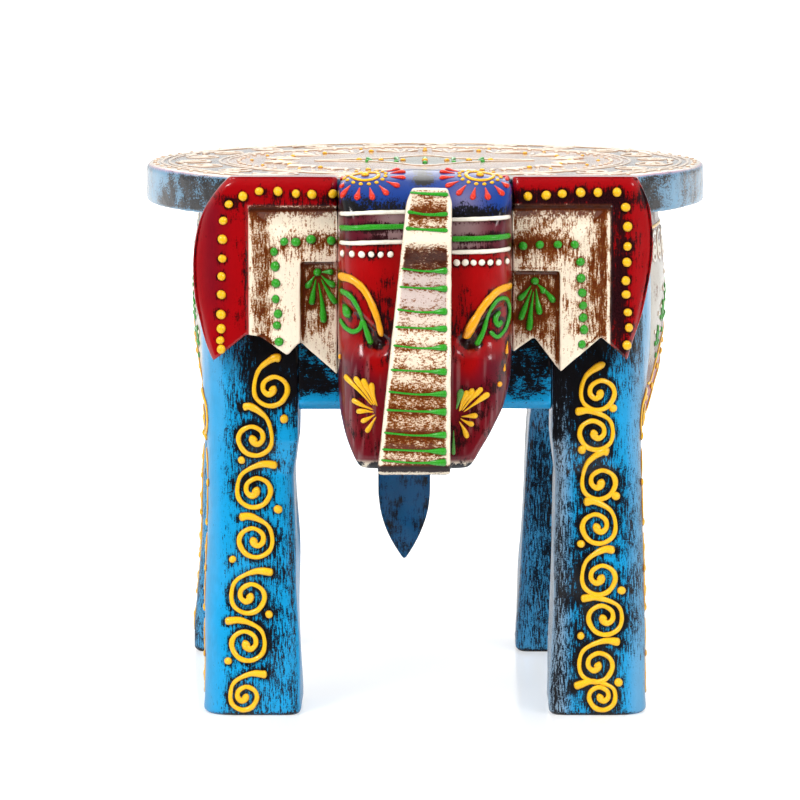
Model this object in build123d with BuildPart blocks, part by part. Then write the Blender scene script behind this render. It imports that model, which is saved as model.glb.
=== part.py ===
"""Carved elephant stool: a round seat on an elephant's body with four legs.

The frame stands on four carved legs joined by two end boards and two bulging
side boards.  The face is a separate head block with two carved ears beside
it, a raised trunk in front of it and a flat pointed tail behind.  Raised
tendrils of thick paint run down the legs.

Units are millimetres.  +Z is up and the elephant looks along -Y.
The origin is on the floor, in the middle of the whole stool's bounding box.
Heights on the face are given as drops from the top of the seat.
"""

import os

from build123d import *

# ---------------------------------------------------------------- seat
stool_height = 236.0  # floor to the top of the seat
seat_diameter = 254.0
seat_thickness = 18.0
seat_edge_round = 2.5

# ---------------------------------------------------------------- legs
front_overhang = 15.0  # seat's rim to the front faces of the front legs
rear_overhang = 35.0  # seat's rim to the rear faces of the rear legs
side_overhang = 30.0  # seat's rim to the outer faces of the legs
leg_width = 42.0  # at the top, across the stool
leg_depth = 44.0  # at the top, along the stool
leg_flare = 3.0  # extra width of a leg's top where it meets the side board
leg_draw = 2.0  # how far that extra width draws in under the seat
leg_tuck = 4.0  # and at the lower end of the side board
ankle_width = 38.0
ankle_depth = 40.0
ankle_drop = 16.0  # from the side board's lower end to the ankle
shin_width = 40.0  # halfway from the ankle to the floor
shin_depth = 42.0
foot_width = 43.5
foot_depth = 46.0
shoulder_corner = 32.0  # rounding of a leg's outer corner beside the body
hip_corner = 20.0  # at the body's lower edge
post_corner = 13.0  # and lower down
inner_corner = 6.0  # rounding of its other corners lower down
joint_corner = 1.0  # rounding of the corners that meet a board
foot_chamfer = 1.5
rear_shift_top = -5.0  # the rear legs stand over to -X
rear_shift_ankle = -8.5
rear_shift_floor = -11.5

# ---------------------------------------------------------------- boards
board_thickness = 20.0
board_height = 83.0  # from the seat's underside to an end board's lower edge
board_chamfer = 3.0
side_thickness = 24.0  # of a side board at its ends
side_height = 96.0  # from the seat's underside to its lower ends
side_full_drop = 37.0  # from the seat's underside to its fullest height
barrel_overhang = 20.0  # seat's rim to the body's side at its fullest
barrel_shift = 1.5  # the body's middle lies over to +X
barrel_draw = 4.0  # how far the fullest section draws in under the seat
barrel_tuck = 8.0  # and at its lower edge
arch_height = 24.0  # rise of the arch under a side board
arch_foot = 10.0  # straight stretch at each end of that arch

# ---------------------------------------------------------------- head
head_width = 75.0
head_reach = 38.0  # front board to the flat face of the head
head_crown_rise = 4.5  # the crown's height above the seat, in the middle
head_side_rise = 1.0  # and at its sides
head_crown_flat = 6.0  # length of the crown's flat top
head_crown_corner = 5.0
forehead_drop = 38.0  # from the seat's top to where the forehead is upright
cheek_depth = 20.0  # how far the head's sides curve back from its face
cheek_drop_left = 86.0  # from the seat's top to where a cheek draws in
cheek_drop_right = 74.0
chin_drop = 122.5
chin_left = 28.0
chin_right = 19.0
chin_chamfer = 4.0
landing_width = 44.0  # flat strip down the face that carries the trunk

# ---------------------------------------------------------------- ears
ear_thickness = 12.0
ear_panel_rise = 2.0  # the carved panel stands out from the plain rim
ear_hollow_depth = 4.5  # the hollow beside the head, behind the panel
ear_rise = 1.5  # how far the ears stand above the seat
ear_panel_drop = 13.0  # from the ear's top to its panel
ear_edge_round = 3.0
ear_gap = 0.2  # glue line between an ear and the head
# Points along an ear's lower edge as (distance from the head, drop from the
# seat's top), from the corner beside the head to the tip of the outer lobe.
left_ear_zigzag = [(0.0, 84.5), (16.5, 70.0), (21.7, 75.6), (33.5, 67.4), (39.5, 67.0), (54.0, 78.5)]
right_ear_zigzag = [(0.0, 75.0), (9.5, 68.2), (20.7, 83.0), (38.4, 67.3), (49.8, 78.3)]
# Points up an ear's outer edge, from that tip to its upper corner.
left_ear_curve = [(54.0, 78.5), (62.5, 40.0), (57.0, 12.0), (46.0, -1.5)]
right_ear_curve = [(49.8, 78.3), (60.0, 38.0), (58.0, 8.0), (53.5, -1.5)]
left_panel_width = 38.5  # from the head to the far edge of the raised panel
right_panel_width = 42.0
left_hollow_width = 16.0
right_hollow_width = 20.5
left_hollow_drop = 35.0  # from the seat's top to the top of the hollow
right_hollow_drop = 39.0

# ---------------------------------------------------------------- trunk
trunk_root_width = 31.0
trunk_root_shift = -4.8  # the trunk leans: its root is over to -X
trunk_tip_width = 18.6
trunk_tip_shift = 2.1
trunk_reach = 20.0  # face of the head to the front of the trunk
trunk_chamfer = 4.0  # under its root
trunk_bow_drop = 84.0  # from the seat's top to where the trunk reaches furthest
trunk_bow_rise = 2.0  # its root lies back by this much
trunk_crease_drop = 37.0  # from the seat's top to the fold under the tip
trunk_crease_depth = 11.0  # how far that fold lies behind the trunk's front
trunk_lip_drop = 23.0
trunk_lip_depth = 7.0
trunk_top_drop = 1.0
trunk_top_thickness = 7.0
trunk_side_round = 1.5

# ---------------------------------------------------------------- tail
tail_width = 25.0
tail_thickness = 16.0
tail_top_drop = 12.0  # from the seat's underside to the top of the tail
tail_tip_height = 37.0  # floor to the point
tail_taper = 34.0  # length of the pointed end
tail_corner = 5.0

# ---------------------------------------------------------------- tendrils
# Each leg carries raised tendrils of thick paint on its end face and its
# outer side.  They are drawn for a leg of this size and stretch with it.
drawn_leg_width = 42.0
drawn_leg_height = 218.0
tendril_line = 2.2  # width of the raised line
tendril_rise = 1.1  # how far it stands off the leg
tendril_reach = 7.6  # half the width of a curled tendril
tendril_tail = 3.3  # width of its fat tail
tendril_heart = 3.8  # and of its fat curled end
drop_size = 3.7  # width of a drop beside a tendril
column_pitch = 19.0  # between the tendrils of an even column
side_column_top = 140.0  # height of the first tail on an outer side
rear_column_top = 128.0  # and on a rear face
column_floor = 24.0  # no tail of an even column lies lower
tail_aside = 5.5  # a tail's place beside the middle of its column
heart_aside = 0.6  # its curled end's place, to the other side
heart_drop = 11.0  # from a tail down to its curled end
drop_aside = 8.8
drop_below = 19.5  # from a tail down to the drop beside it
lead_aside = 0.30  # the line's first bend, between the curled end and the tail
lead_rise = 0.06  # its height above the tail, in reaches
lead_least = 1.12  # and at least this far above the curled end, in reaches
sweep_aside = 0.66  # the line's second bend beside the curled end, in reaches
sweep_share = 0.60  # and its share of the way up to the tail
sweep_rise = 0.10  # with this much more, in reaches
sweep_least = 0.72  # and at least this far above the curled end, in reaches
# The curl as (across, up) in reaches from the curled end, going inwards.
curl = [
    (-0.96, 0.12), (-0.80, -0.60), (-0.15, -0.98), (0.55, -0.80), (0.94, -0.15),
    (0.78, 0.42), (0.20, 0.70), (-0.36, 0.42), (-0.44, -0.05), (-0.14, -0.32),
]
# A curl is smaller where this height is all that it leaves above the floor.
curl_clearance = 2.6
# The front faces' tendrils as (tail, curled end), and the drops beside them.
# Each point is (distance from the leg's middle line to its outer side, height).
left_tendrils = [
    ((-13.4, 157.4), (-9.0, 144.3)), ((3.2, 136.0), (-2.0, 122.4)), ((-11.7, 110.5), (-1.4, 99.5)),
    ((5.2, 87.6), (-2.0, 77.5)), ((-9.6, 63.3), (1.4, 52.7)), ((11.5, 41.6), (1.5, 31.9)),
    ((-6.8, 18.3), (3.4, 8.7)),
]
left_drops = [(-14.6, 131.1), (3.9, 112.9), (-11.7, 91.1), (8.0, 69.1), (-7.8, 44.9), (10.1, 24.3)]
right_tendrils = [
    ((2.0, 153.9), (-0.8, 142.5)), ((-10.7, 134.2), (-1.5, 125.0)), ((4.2, 116.2), (-0.1, 103.0)),
    ((-6.8, 94.2), (-0.1, 83.6)), ((7.0, 73.0), (0.0, 61.1)), ((-7.8, 51.8), (2.8, 43.4)),
    ((9.4, 32.7), (-1.1, 22.5)), ((-10.7, 13.0), (1.6, 8.6)),
]
right_drops = [
    (5.8, 135.5), (-7.6, 117.5), (7.3, 96.9), (-7.9, 76.1), (10.0, 55.4), (-7.7, 35.4), (8.8, 14.8),
]

# ---------------------------------------------------------------- fixings
dowel_diameter = 8.0
dowel_bite = 16.0  # how far a dowel goes into each of its two pieces
dowel_end_gap = 1.0  # spare depth of a hole past each end of its dowel
dowel_clearance = 0.1  # on the radius, filled by glue
dowel_chamfer = 0.8
dowel_spacing = 30.0  # between the two dowels of one joint
side_dowel_drop = 5.0  # how far a side board's dowels lie below the end boards'
leg_dowel_inset = 14.0  # a leg's inner face to its seat dowel
leg_dowel_setback = 27.0  # a leg's outer end face to its seat dowel
side_dowel_advance = 10.0  # a side board's seat dowel stands in front of the seat axis
ear_dowel_inset = 5.5  # a front leg's inner face to its ear's dowels
trunk_dowel_rise = 14.0  # the chin to the lower dowel of the trunk
trunk_dowel_spacing = 50.0
seat_dowel_bite = 11.0  # into the seat, which is thinner
ear_dowel_bite = 6.0  # into an ear
trunk_dowel_bite = 8.0  # into the trunk
screw_diameter = 4.5
screw_head_diameter = 9.0
screw_head_height = 2.8
screw_slot = 1.0
screw_slot_depth = 1.2
screw_clearance = 0.1
screw_tip = 3.0
head_screw_bite = 24.0
tail_screw_bite = 11.0
head_screw_spacing = 40.0
head_screw_shift = 2.0  # the head's screws lie above the board's middle
tail_screw_spacing = 44.0

# ---------------------------------------------------------------- worked out
seat_radius = seat_diameter / 2
frame_front = seat_radius - front_overhang
frame_rear = seat_radius - rear_overhang
barrel_half = seat_radius - barrel_overhang
front_reach = frame_front + head_reach + trunk_reach
rear_reach = max(seat_radius, frame_rear + tail_thickness)
seat_y = (front_reach - rear_reach) / 2
seat_underside = stool_height - seat_thickness
front_y = seat_y - frame_front
rear_y = seat_y + frame_rear
front_leg_back = front_y + leg_depth
rear_leg_front = rear_y - leg_depth
leg_outer = seat_radius - side_overhang
leg_middle = leg_outer - leg_width / 2
leg_inner = leg_outer - leg_width
leg_gap = 2 * leg_inner
side_inner = leg_outer + leg_flare - side_thickness
side_bottom = seat_underside - side_height
side_full = seat_underside - side_full_drop
ankle_height = side_bottom - ankle_drop
shin_height = ankle_height / 2
board_bottom = seat_underside - board_height
board_middle = seat_underside - board_height / 2
head_half = head_width / 2
face_y = front_y - head_reach
trunk_front = face_y - trunk_reach
chin_z = stool_height - chin_drop
tail_x = (rear_shift_ankle + rear_shift_floor) / 2
dowel_hole = dowel_diameter + 2 * dowel_clearance
screw_hole = screw_diameter + 2 * screw_clearance
FLOOR_UP = (Align.CENTER, Align.CENTER, Align.MIN)
ABOVE = (0, 0, 1)
BEHIND = (0, 1, 0)
AHEAD = (0, -1, 0)


def save(builder, name):
    """Labels a finished piece and writes it as a STEP file."""
    builder.part.label = name
    export_step(builder.part, f"parts/{name}.step")


def bore(centre, direction, diameter, depth):
    """Cuts a blind round hole into the part being built, from centre along direction."""
    with Locations(Plane(origin=centre, z_dir=direction)):
        Cylinder(diameter / 2, depth, align=FLOOR_UP, mode=Mode.SUBTRACT)


def flipped(direction):
    """Turns a direction round."""
    return tuple(-value for value in direction)


def dowel_set(name, joints):
    """Makes one node of dowels, each given as (centre, direction, bite ahead, bite behind)."""
    with BuildPart() as dowels:
        for centre, direction, ahead, behind in joints:
            start = Vector(*centre) - Vector(*direction) * behind
            with Locations(Plane(origin=start, z_dir=direction)):
                Cylinder(dowel_diameter / 2, ahead + behind, align=FLOOR_UP)
        chamfer(dowels.edges().filter_by(GeomType.CIRCLE), dowel_chamfer)
    save(dowels, name)


def screw_set(name, places, back, bite):
    """Makes one node of screws. Each head lies on its board at a place and faces back."""
    shank = board_thickness + bite - screw_tip
    ahead = flipped(back)
    with BuildPart() as screws:
        for place in places:
            with Locations(Plane(origin=place, z_dir=ahead)):
                Cylinder(screw_diameter / 2, shank, align=FLOOR_UP)
            with Locations(Plane(origin=Vector(*place) + Vector(*ahead) * shank, z_dir=ahead)):
                Cone(screw_diameter / 2, screw_diameter / 10, screw_tip, align=FLOOR_UP)
            with Locations(Plane(origin=place, z_dir=back)):
                Cylinder(screw_head_diameter / 2, screw_head_height, align=FLOOR_UP)
            slot = (2 * screw_head_diameter, screw_slot, screw_slot_depth)
            with Locations(Plane(origin=Vector(*place) + Vector(*back) * screw_head_height, z_dir=ahead)):
                Box(*slot, align=FLOOR_UP, mode=Mode.SUBTRACT)
    save(screws, name)


# ---------------------------------------------------------------- joint places
def rear_shift(end):
    """Gives the sideways shift of a frame end's upper part: 1 is the front, -1 the rear."""
    return 0.0 if end > 0 else rear_shift_top


def end_face(end):
    """Gives the outer face of the front (1) or rear (-1) end of the frame."""
    return front_y if end > 0 else rear_y


def screw_back(end):
    """Gives the way that the screw heads face: into the body, behind the board they hold."""
    return (0, end, 0)


def seat_dowel_on_leg(side, end):
    """Gives the place of the dowel between a leg and the seat."""
    x = side * (leg_inner + leg_dowel_inset) + rear_shift(end)
    return (x, end_face(end) + end * leg_dowel_setback, seat_underside)


def seat_dowel_on_side(side):
    """Gives the place of the dowel between a side board and the seat."""
    return (side * (side_inner + side_thickness / 2), seat_y - side_dowel_advance, seat_underside)


def board_dowels(side, end):
    """Gives the places of the two dowels between an end board and a leg."""
    x = side * leg_inner + rear_shift(end)
    y = end_face(end) + end * board_thickness / 2
    return [(x, y, board_middle + sign * dowel_spacing / 2) for sign in (-1, 1)]


def side_dowels(side, end):
    """Gives the places of the two dowels between a side board and a leg."""
    x = side * (side_inner + side_thickness / 2) + rear_shift(end)
    y = end_face(end) + end * leg_depth
    middle = board_middle - side_dowel_drop
    return [(x, y, middle + sign * dowel_spacing / 2) for sign in (-1, 1)]


def ear_dowels(side):
    """Gives the places of the two dowels between an ear and its leg."""
    x = side * (leg_inner + ear_dowel_inset)
    return [(x, front_y, board_middle + rise) for rise in (0.0, dowel_spacing)]


trunk_dowels = [
    (trunk_root_shift / 2, face_y, chin_z + trunk_dowel_rise + rise) for rise in (0.0, trunk_dowel_spacing)
]
head_screws = [
    (x, front_y + board_thickness, board_middle + head_screw_shift + rise)
    for x in (-head_screw_spacing / 2, head_screw_spacing / 2)
    for rise in (-head_screw_spacing / 2, head_screw_spacing / 2)
]
tail_screws = [
    (tail_x, rear_y - board_thickness, board_middle + sign * tail_screw_spacing / 2) for sign in (-1, 1)
]
EVERY_CORNER = [(side, end) for side in (-1, 1) for end in (1, -1)]


# ---------------------------------------------------------------- pieces
def section(side, end, z, shift, across, along, outer_corner, other_corner):
    """Draws a leg's section at height z. across and along hold its (near, far) edges."""
    near_x, far_x, back_x = across
    front, back = along
    corners = [(near_x, front), (far_x, front), (back_x, back), (near_x, back)]
    points = [(side * x + shift, end_face(end) + end * y) for x, y in corners]
    with BuildSketch(Plane.XY.offset(z)) as outline:
        with BuildLine():
            Polyline(*points, close=True)
        make_face()
        for point, radius in zip(points, [other_corner, outer_corner, other_corner, other_corner]):
            fillet(outline.vertices().sort_by_distance(point)[0], radius)
    return outline.sketch


def add_leg_block(side, end, skin=0.0, mode=Mode.ADD):
    """Adds the plain shape of a leg to the part being built, grown by a skin."""
    top_shift = rear_shift(end)
    ankle_shift = 0.0 if end > 0 else rear_shift_ankle
    floor_shift = 0.0 if end > 0 else rear_shift_floor
    shin_shift = (ankle_shift + floor_shift) / 2
    block = (0.0, leg_depth)
    upper = []
    levels = (
        (seat_underside, leg_draw, shoulder_corner),
        (side_full, 0.0, shoulder_corner),
        (side_bottom, leg_tuck, hip_corner),
    )
    for z, draw, corner in levels:
        across = (leg_inner, leg_outer - draw / 2, leg_outer + leg_flare - draw)
        upper.append(section(side, end, z, top_shift, across, block, corner, joint_corner))
    lower = [upper[-1]]
    stations = (
        (ankle_height, ankle_shift, ankle_width, ankle_depth),
        (shin_height, shin_shift, shin_width, shin_depth),
        (0.0, floor_shift, foot_width, foot_depth),
    )
    for z, shift, width, depth in stations:
        across = (leg_middle - width / 2, leg_middle + width / 2, leg_middle + width / 2)
        along = (leg_depth / 2 - depth / 2, leg_depth / 2 + depth / 2)
        lower.append(section(side, end, z, shift, across, along, post_corner, inner_corner))
    with BuildPart(mode=Mode.PRIVATE) as block:
        loft([offset(sketch, skin) if skin else sketch for sketch in upper])
        loft([offset(sketch, skin) if skin else sketch for sketch in lower], ruled=True)
    add(block.part, mode=mode)


def make_leg(name, side, end):
    """Makes one leg. side is 1 at +X and -1 at -X. end is 1 in front and -1 behind."""
    with BuildPart() as leg:
        add_leg_block(side, end)
        chamfer(leg.faces().sort_by(Axis.Z)[0].edges(), foot_chamfer)
        bore(seat_dowel_on_leg(side, end), (0, 0, -1), dowel_hole, dowel_bite + dowel_end_gap)
        for place in board_dowels(side, end):
            bore(place, (side, 0, 0), dowel_hole, dowel_bite + dowel_end_gap)
        for place in side_dowels(side, end):
            bore(place, (0, -end, 0), dowel_hole, dowel_bite + dowel_end_gap)
        if end > 0:
            for place in ear_dowels(side):
                bore(place, BEHIND, dowel_hole, dowel_bite + dowel_end_gap)
    save(leg, name)


def even_column(top, hand):
    """Lays out a column of tendrils from the top down. hand is the side of the first tail."""
    tendrils, drops = [], []
    height = top
    while height > column_floor:
        tendrils.append(((hand * tail_aside, height), (-hand * heart_aside, height - heart_drop)))
        drops.append((hand * drop_aside, height - drop_below))
        hand, height = -hand, height - column_pitch
    return tendrils, drops[:-1]


def tendril_edges(tail, heart):
    """Gives the two long edges of a tendril's line, from its tail in to its curled end."""
    aside, above = tail[0] - heart[0], tail[1] - heart[1]
    reach = min(tendril_reach, heart[1] - curl_clearance)
    hand = reach if aside > 0 else -reach
    lead_up = max(above + lead_rise * reach, lead_least * reach)
    sweep_up = max(sweep_share * above + sweep_rise * reach, sweep_least * reach)
    spots = [tail, (heart[0] + lead_aside * aside, heart[1] + lead_up)]
    spots.append((heart[0] - sweep_aside * hand, heart[1] + sweep_up))
    spots += [(heart[0] + hand * x, heart[1] + reach * z) for x, z in curl]
    before, after = [spots[0], *spots[:-1]], [*spots[1:], spots[-1]]
    edges = ([], [])
    for (x, z), first, last in zip(spots, before, after):
        beside = Vector(first[1] - last[1], last[0] - first[0]).normalized() * (tendril_line / 2)
        edges[0].append((x + beside.X, z + beside.Y))
        edges[1].append((x - beside.X, z - beside.Y))
    return edges


def add_tendrils(drawing, place, plane, amount):
    """Draws tendrils and drops on an upright plane and extrudes them out through the leg's face.

    place turns a drawn point into one on the plane.
    """
    tendrils, drops = drawing
    for tail, heart in tendrils:
        first, second = tendril_edges(tail, heart)
        first = [place(spot) for spot in first]
        second = [place(spot) for spot in second]
        with BuildSketch(plane) as outline:
            with BuildLine():
                Spline(*first)
                Line(first[-1], second[-1])
                Spline(*reversed(second))
                Line(second[0], first[0])
            make_face()
            for spot, size in ((tail, tendril_tail), (heart, tendril_heart)):
                with Locations(place(spot)):
                    Circle(size / 2)
        extrude(outline.sketch, amount=amount)
    with BuildSketch(plane) as outline:
        with Locations(*[place(spot) for spot in drops]):
            Circle(drop_size / 2)
    extrude(outline.sketch, amount=amount)


def make_tendrils(name, side, end, drawing):
    """Makes the raised tendrils on the end face and the outer side of one leg."""
    across = leg_width / drawn_leg_width
    up = seat_underside / drawn_leg_height
    lean = 0.0 if end > 0 else (rear_shift_ankle - rear_shift_floor) / ankle_height
    foot = 0.0 if end > 0 else rear_shift_floor

    def on_end(spot):
        """Places a drawn point on the end face, which leans behind."""
        z = up * spot[1]
        return (side * (leg_middle + across * spot[0]) + foot + lean * z, z)

    def on_side(spot):
        """Places a drawn point on the outer side."""
        return (middle_y + across * spot[0], up * spot[1])

    middle_y = end_face(end) + end * leg_depth / 2
    out = leg_flare + tendril_rise + foot_width / 2
    with BuildPart() as tendrils:
        add_tendrils(drawing, on_end, Plane.XZ.offset(-middle_y), end * (leg_depth / 2 + out))
        side_plane = Plane.YZ.offset(side * leg_middle + foot)
        add_tendrils(even_column(side_column_top, end), on_side, side_plane, side * (leg_width / 2 + out))
        add_leg_block(side, end, tendril_rise, Mode.INTERSECT)
        add_leg_block(side, end, mode=Mode.SUBTRACT)
    save(tendrils, name)


def make_side_board(name, side):
    """Makes the bulging board between the two legs of one side."""
    end_full = leg_outer + leg_flare
    middle_y = (front_leg_back + rear_leg_front) / 2
    stations = (
        (front_leg_back, 0.0, end_full, leg_draw, leg_tuck),
        (middle_y, rear_shift_top / 2, side * barrel_shift + barrel_half, barrel_draw, barrel_tuck),
        (rear_leg_front, rear_shift_top, end_full, leg_draw, leg_tuck),
    )
    with BuildPart() as board:
        for y, shift, full, draw, tuck in stations:
            lean = shift if y != middle_y else 0.0
            inner = side * side_inner + shift
            top = (side * (full - draw) + lean, seat_underside)
            fullest = (side * full + lean, side_full)
            foot = (side * (full - tuck) + lean, side_bottom)
            with BuildSketch(Plane(origin=(0, y, 0), x_dir=(1, 0, 0), z_dir=AHEAD)):
                with BuildLine():
                    ThreePointArc(top, fullest, foot)
                    Polyline(foot, (inner, side_bottom), (inner, seat_underside), top)
                make_face()
        loft()
        with BuildSketch(Plane.YZ):
            with BuildLine():
                start = (front_leg_back + arch_foot, side_bottom)
                finish = (rear_leg_front - arch_foot, side_bottom)
                ThreePointArc(start, (middle_y, side_bottom + arch_height), finish)
                Line(finish, start)
            make_face()
        extrude(amount=side * 2 * leg_outer, mode=Mode.SUBTRACT)
        bore(seat_dowel_on_side(side), (0, 0, -1), dowel_hole, dowel_bite + dowel_end_gap)
        for end in (1, -1):
            for place in side_dowels(side, end):
                bore(place, (0, end, 0), dowel_hole, dowel_bite + dowel_end_gap)
    save(board, name)


def make_end_board(name, end):
    """Makes the flat board between the front (1) or rear (-1) legs."""
    middle = (rear_shift(end), end_face(end) + end * board_thickness / 2, board_middle)
    with BuildPart() as board:
        with Locations(middle):
            Box(leg_gap, board_thickness, board_height)
        chamfer(board.faces().sort_by(Axis.Z)[0].edges().filter_by(Axis.X), board_chamfer)
        for side in (-1, 1):
            for place in board_dowels(side, end):
                bore(place, (-side, 0, 0), dowel_hole, dowel_bite + dowel_end_gap)
        for place in head_screws if end > 0 else tail_screws:
            bore(place, flipped(screw_back(end)), screw_hole, board_thickness)
    save(board, name)


def make_seat(name):
    """Makes the round seat board, cut straight where the face stands against it."""
    with BuildPart() as seat:
        with Locations((0, seat_y, seat_underside)):
            Cylinder(seat_radius, seat_thickness, align=FLOOR_UP)
        fillet(seat.edges().filter_by(GeomType.CIRCLE), seat_edge_round)
        with Locations((0, front_y, seat_underside)):
            front_cut = (Align.CENTER, Align.MAX, Align.MIN)
            Box(seat_diameter, seat_radius, seat_thickness, align=front_cut, mode=Mode.SUBTRACT)
        for side, end in EVERY_CORNER:
            bore(seat_dowel_on_leg(side, end), ABOVE, dowel_hole, seat_dowel_bite + dowel_end_gap)
        for side in (-1, 1):
            bore(seat_dowel_on_side(side), ABOVE, dowel_hole, seat_dowel_bite + dowel_end_gap)
    save(seat, name)


def make_head(name):
    """Makes the head: the overlap of its front, side and top outlines."""
    crown = stool_height + head_crown_rise
    temple = stool_height + head_side_rise
    left_cheek = stool_height - cheek_drop_left
    right_cheek = stool_height - cheek_drop_right
    with BuildPart() as head:
        with BuildSketch(Plane.XZ.offset(-front_y)) as front:
            with BuildLine():
                ThreePointArc((-head_half, temple), (0, crown), (head_half, temple))
                Line((head_half, temple), (head_half, right_cheek))
                Spline((head_half, right_cheek), (chin_right, chin_z), tangents=((0, -1), (-1, -2)))
                Line((chin_right, chin_z), (-chin_left, chin_z))
                Spline((-chin_left, chin_z), (-head_half, left_cheek), tangents=((-1, 2), (0, 1)))
                Line((-head_half, left_cheek), (-head_half, temple))
            make_face()
            fillet(front.vertices().group_by(Axis.Y)[-1], head_crown_corner)
        extrude(amount=head_reach)
        with BuildSketch(Plane.YZ.offset(-head_half)):
            with BuildLine():
                brow = (face_y, stool_height - forehead_drop)
                top = (front_y - head_crown_flat, crown)
                Line((front_y, crown), top)
                Spline(top, brow, tangents=((-1, 0), (0, -1)))
                Polyline(brow, (face_y, chin_z + chin_chamfer), (face_y + chin_chamfer, chin_z))
                Polyline((face_y + chin_chamfer, chin_z), (front_y, chin_z), (front_y, crown))
            make_face()
        extrude(amount=head_width, mode=Mode.INTERSECT)
        with BuildSketch(Plane.XY.offset(chin_z)):
            with BuildLine():
                cheek_y = face_y + cheek_depth
                flat = landing_width / 2
                Line((-flat, face_y), (flat, face_y))
                Spline((flat, face_y), (head_half, cheek_y), tangents=((1, 0), (0, 1)))
                Polyline((head_half, cheek_y), (head_half, front_y), (-head_half, front_y))
                Line((-head_half, front_y), (-head_half, cheek_y))
                Spline((-head_half, cheek_y), (-flat, face_y), tangents=((0, -1), (1, 0)))
            make_face()
        extrude(amount=crown - chin_z, mode=Mode.INTERSECT)
        for place in trunk_dowels:
            bore(place, BEHIND, dowel_hole, dowel_bite + dowel_end_gap)
        for x, _, z in head_screws:
            bore((x, front_y, z), AHEAD, screw_hole, head_screw_bite)
    save(head, name)


def make_ear(name, side, zigzag, curve, panel_width, hollow_width, hollow_drop):
    """Makes one ear from the points along its lower edge and up its outer edge."""
    near = head_half + ear_gap

    def spot(point):
        """Places a (distance from the head, drop) point on the ear's face."""
        return (side * (near + point[0]), stool_height - point[1])

    corner = (0.0, -ear_rise)
    lower = [spot(point) for point in zigzag]
    outer = [spot(point) for point in curve]
    with BuildPart() as ear:
        with BuildSketch(Plane.XZ.offset(-front_y)) as outline:
            with BuildLine():
                Polyline(*lower)
                Spline(*outer)
                Polyline(outer[-1], spot(corner), lower[0])
            make_face()
        extrude(amount=ear_thickness)
        fillet(ear.faces().sort_by(Axis.Y)[0].edges().sort_by(SortBy.LENGTH)[-2:], ear_edge_round)
        with BuildSketch(Plane.XZ.offset(-front_y)):
            with Locations(spot((0.0, ear_panel_drop - ear_rise))):
                edge = (Align.MIN if side > 0 else Align.MAX, Align.MAX)
                Rectangle(panel_width, 2 * ear_panel_drop + stool_height / 2, align=edge)
            add(outline.sketch, mode=Mode.INTERSECT)
        extrude(amount=ear_thickness + ear_panel_rise)
        with BuildSketch(Plane.XZ.offset(-front_y + ear_thickness + ear_panel_rise)):
            with Locations(spot((0.0, hollow_drop))):
                Rectangle(hollow_width, stool_height / 2, align=edge)
        extrude(amount=-ear_hollow_depth, mode=Mode.SUBTRACT)
        for place in ear_dowels(side):
            bore(place, AHEAD, dowel_hole, ear_dowel_bite + dowel_end_gap)
    save(ear, name)


def make_trunk(name):
    """Makes the trunk: its bowed side outline cut to its leaning, tapering front outline."""
    root = chin_z
    crease = (trunk_front + trunk_crease_depth, stool_height - trunk_crease_drop)
    lip = (trunk_front + trunk_lip_depth, stool_height - trunk_lip_drop)
    top = stool_height - trunk_top_drop
    bow = (trunk_front, stool_height - trunk_bow_drop)
    heel = (trunk_front + trunk_bow_rise, root + trunk_chamfer)
    with BuildPart() as trunk:
        with BuildSketch(Plane.YZ.offset(-head_half)):
            with BuildLine():
                Polyline((face_y, top), (face_y, root), (heel[0] + trunk_chamfer, root), heel)
                Spline(heel, bow, crease)
                Line(crease, lip)
                Spline(lip, (face_y - trunk_top_thickness, top), tangents=((0, 1), (1, 1)))
                Line((face_y - trunk_top_thickness, top), (face_y, top))
            make_face()
        extrude(amount=head_width)
        with BuildSketch(Plane.XZ.offset(-face_y)):
            with BuildLine():
                root_left = (trunk_root_shift - trunk_root_width / 2, root)
                root_right = (trunk_root_shift + trunk_root_width / 2, root)
                tip_left = (trunk_tip_shift - trunk_tip_width / 2, top)
                tip_right = (trunk_tip_shift + trunk_tip_width / 2, top)
                Polyline(root_left, root_right, tip_right, tip_left, close=True)
            make_face()
        extrude(amount=trunk_reach, mode=Mode.INTERSECT)
        for place in trunk_dowels:
            bore(place, AHEAD, dowel_hole, trunk_dowel_bite + dowel_end_gap)
    save(trunk, name)


def make_tail(name):
    """Makes the flat tail that hangs from the rear board to a point."""
    top = seat_underside - tail_top_drop
    shoulder = tail_tip_height + tail_taper
    with BuildPart() as tail:
        with BuildSketch(Plane.XZ.offset(-rear_y - tail_thickness)) as outline:
            with BuildLine():
                right = tail_x + tail_width / 2
                left = tail_x - tail_width / 2
                Polyline((right, shoulder), (right, top), (left, top), (left, shoulder))
                Spline((left, shoulder), (tail_x, tail_tip_height), tangents=((0, -1), (2, -3)))
                Spline((tail_x, tail_tip_height), (right, shoulder), tangents=((2, 3), (0, 1)))
            make_face()
            fillet(outline.vertices().group_by(Axis.Y)[-1], tail_corner)
        extrude(amount=tail_thickness)
        for x, _, z in tail_screws:
            bore((x, rear_y, z), BEHIND, screw_hole, tail_screw_bite)
    save(tail, name)


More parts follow.
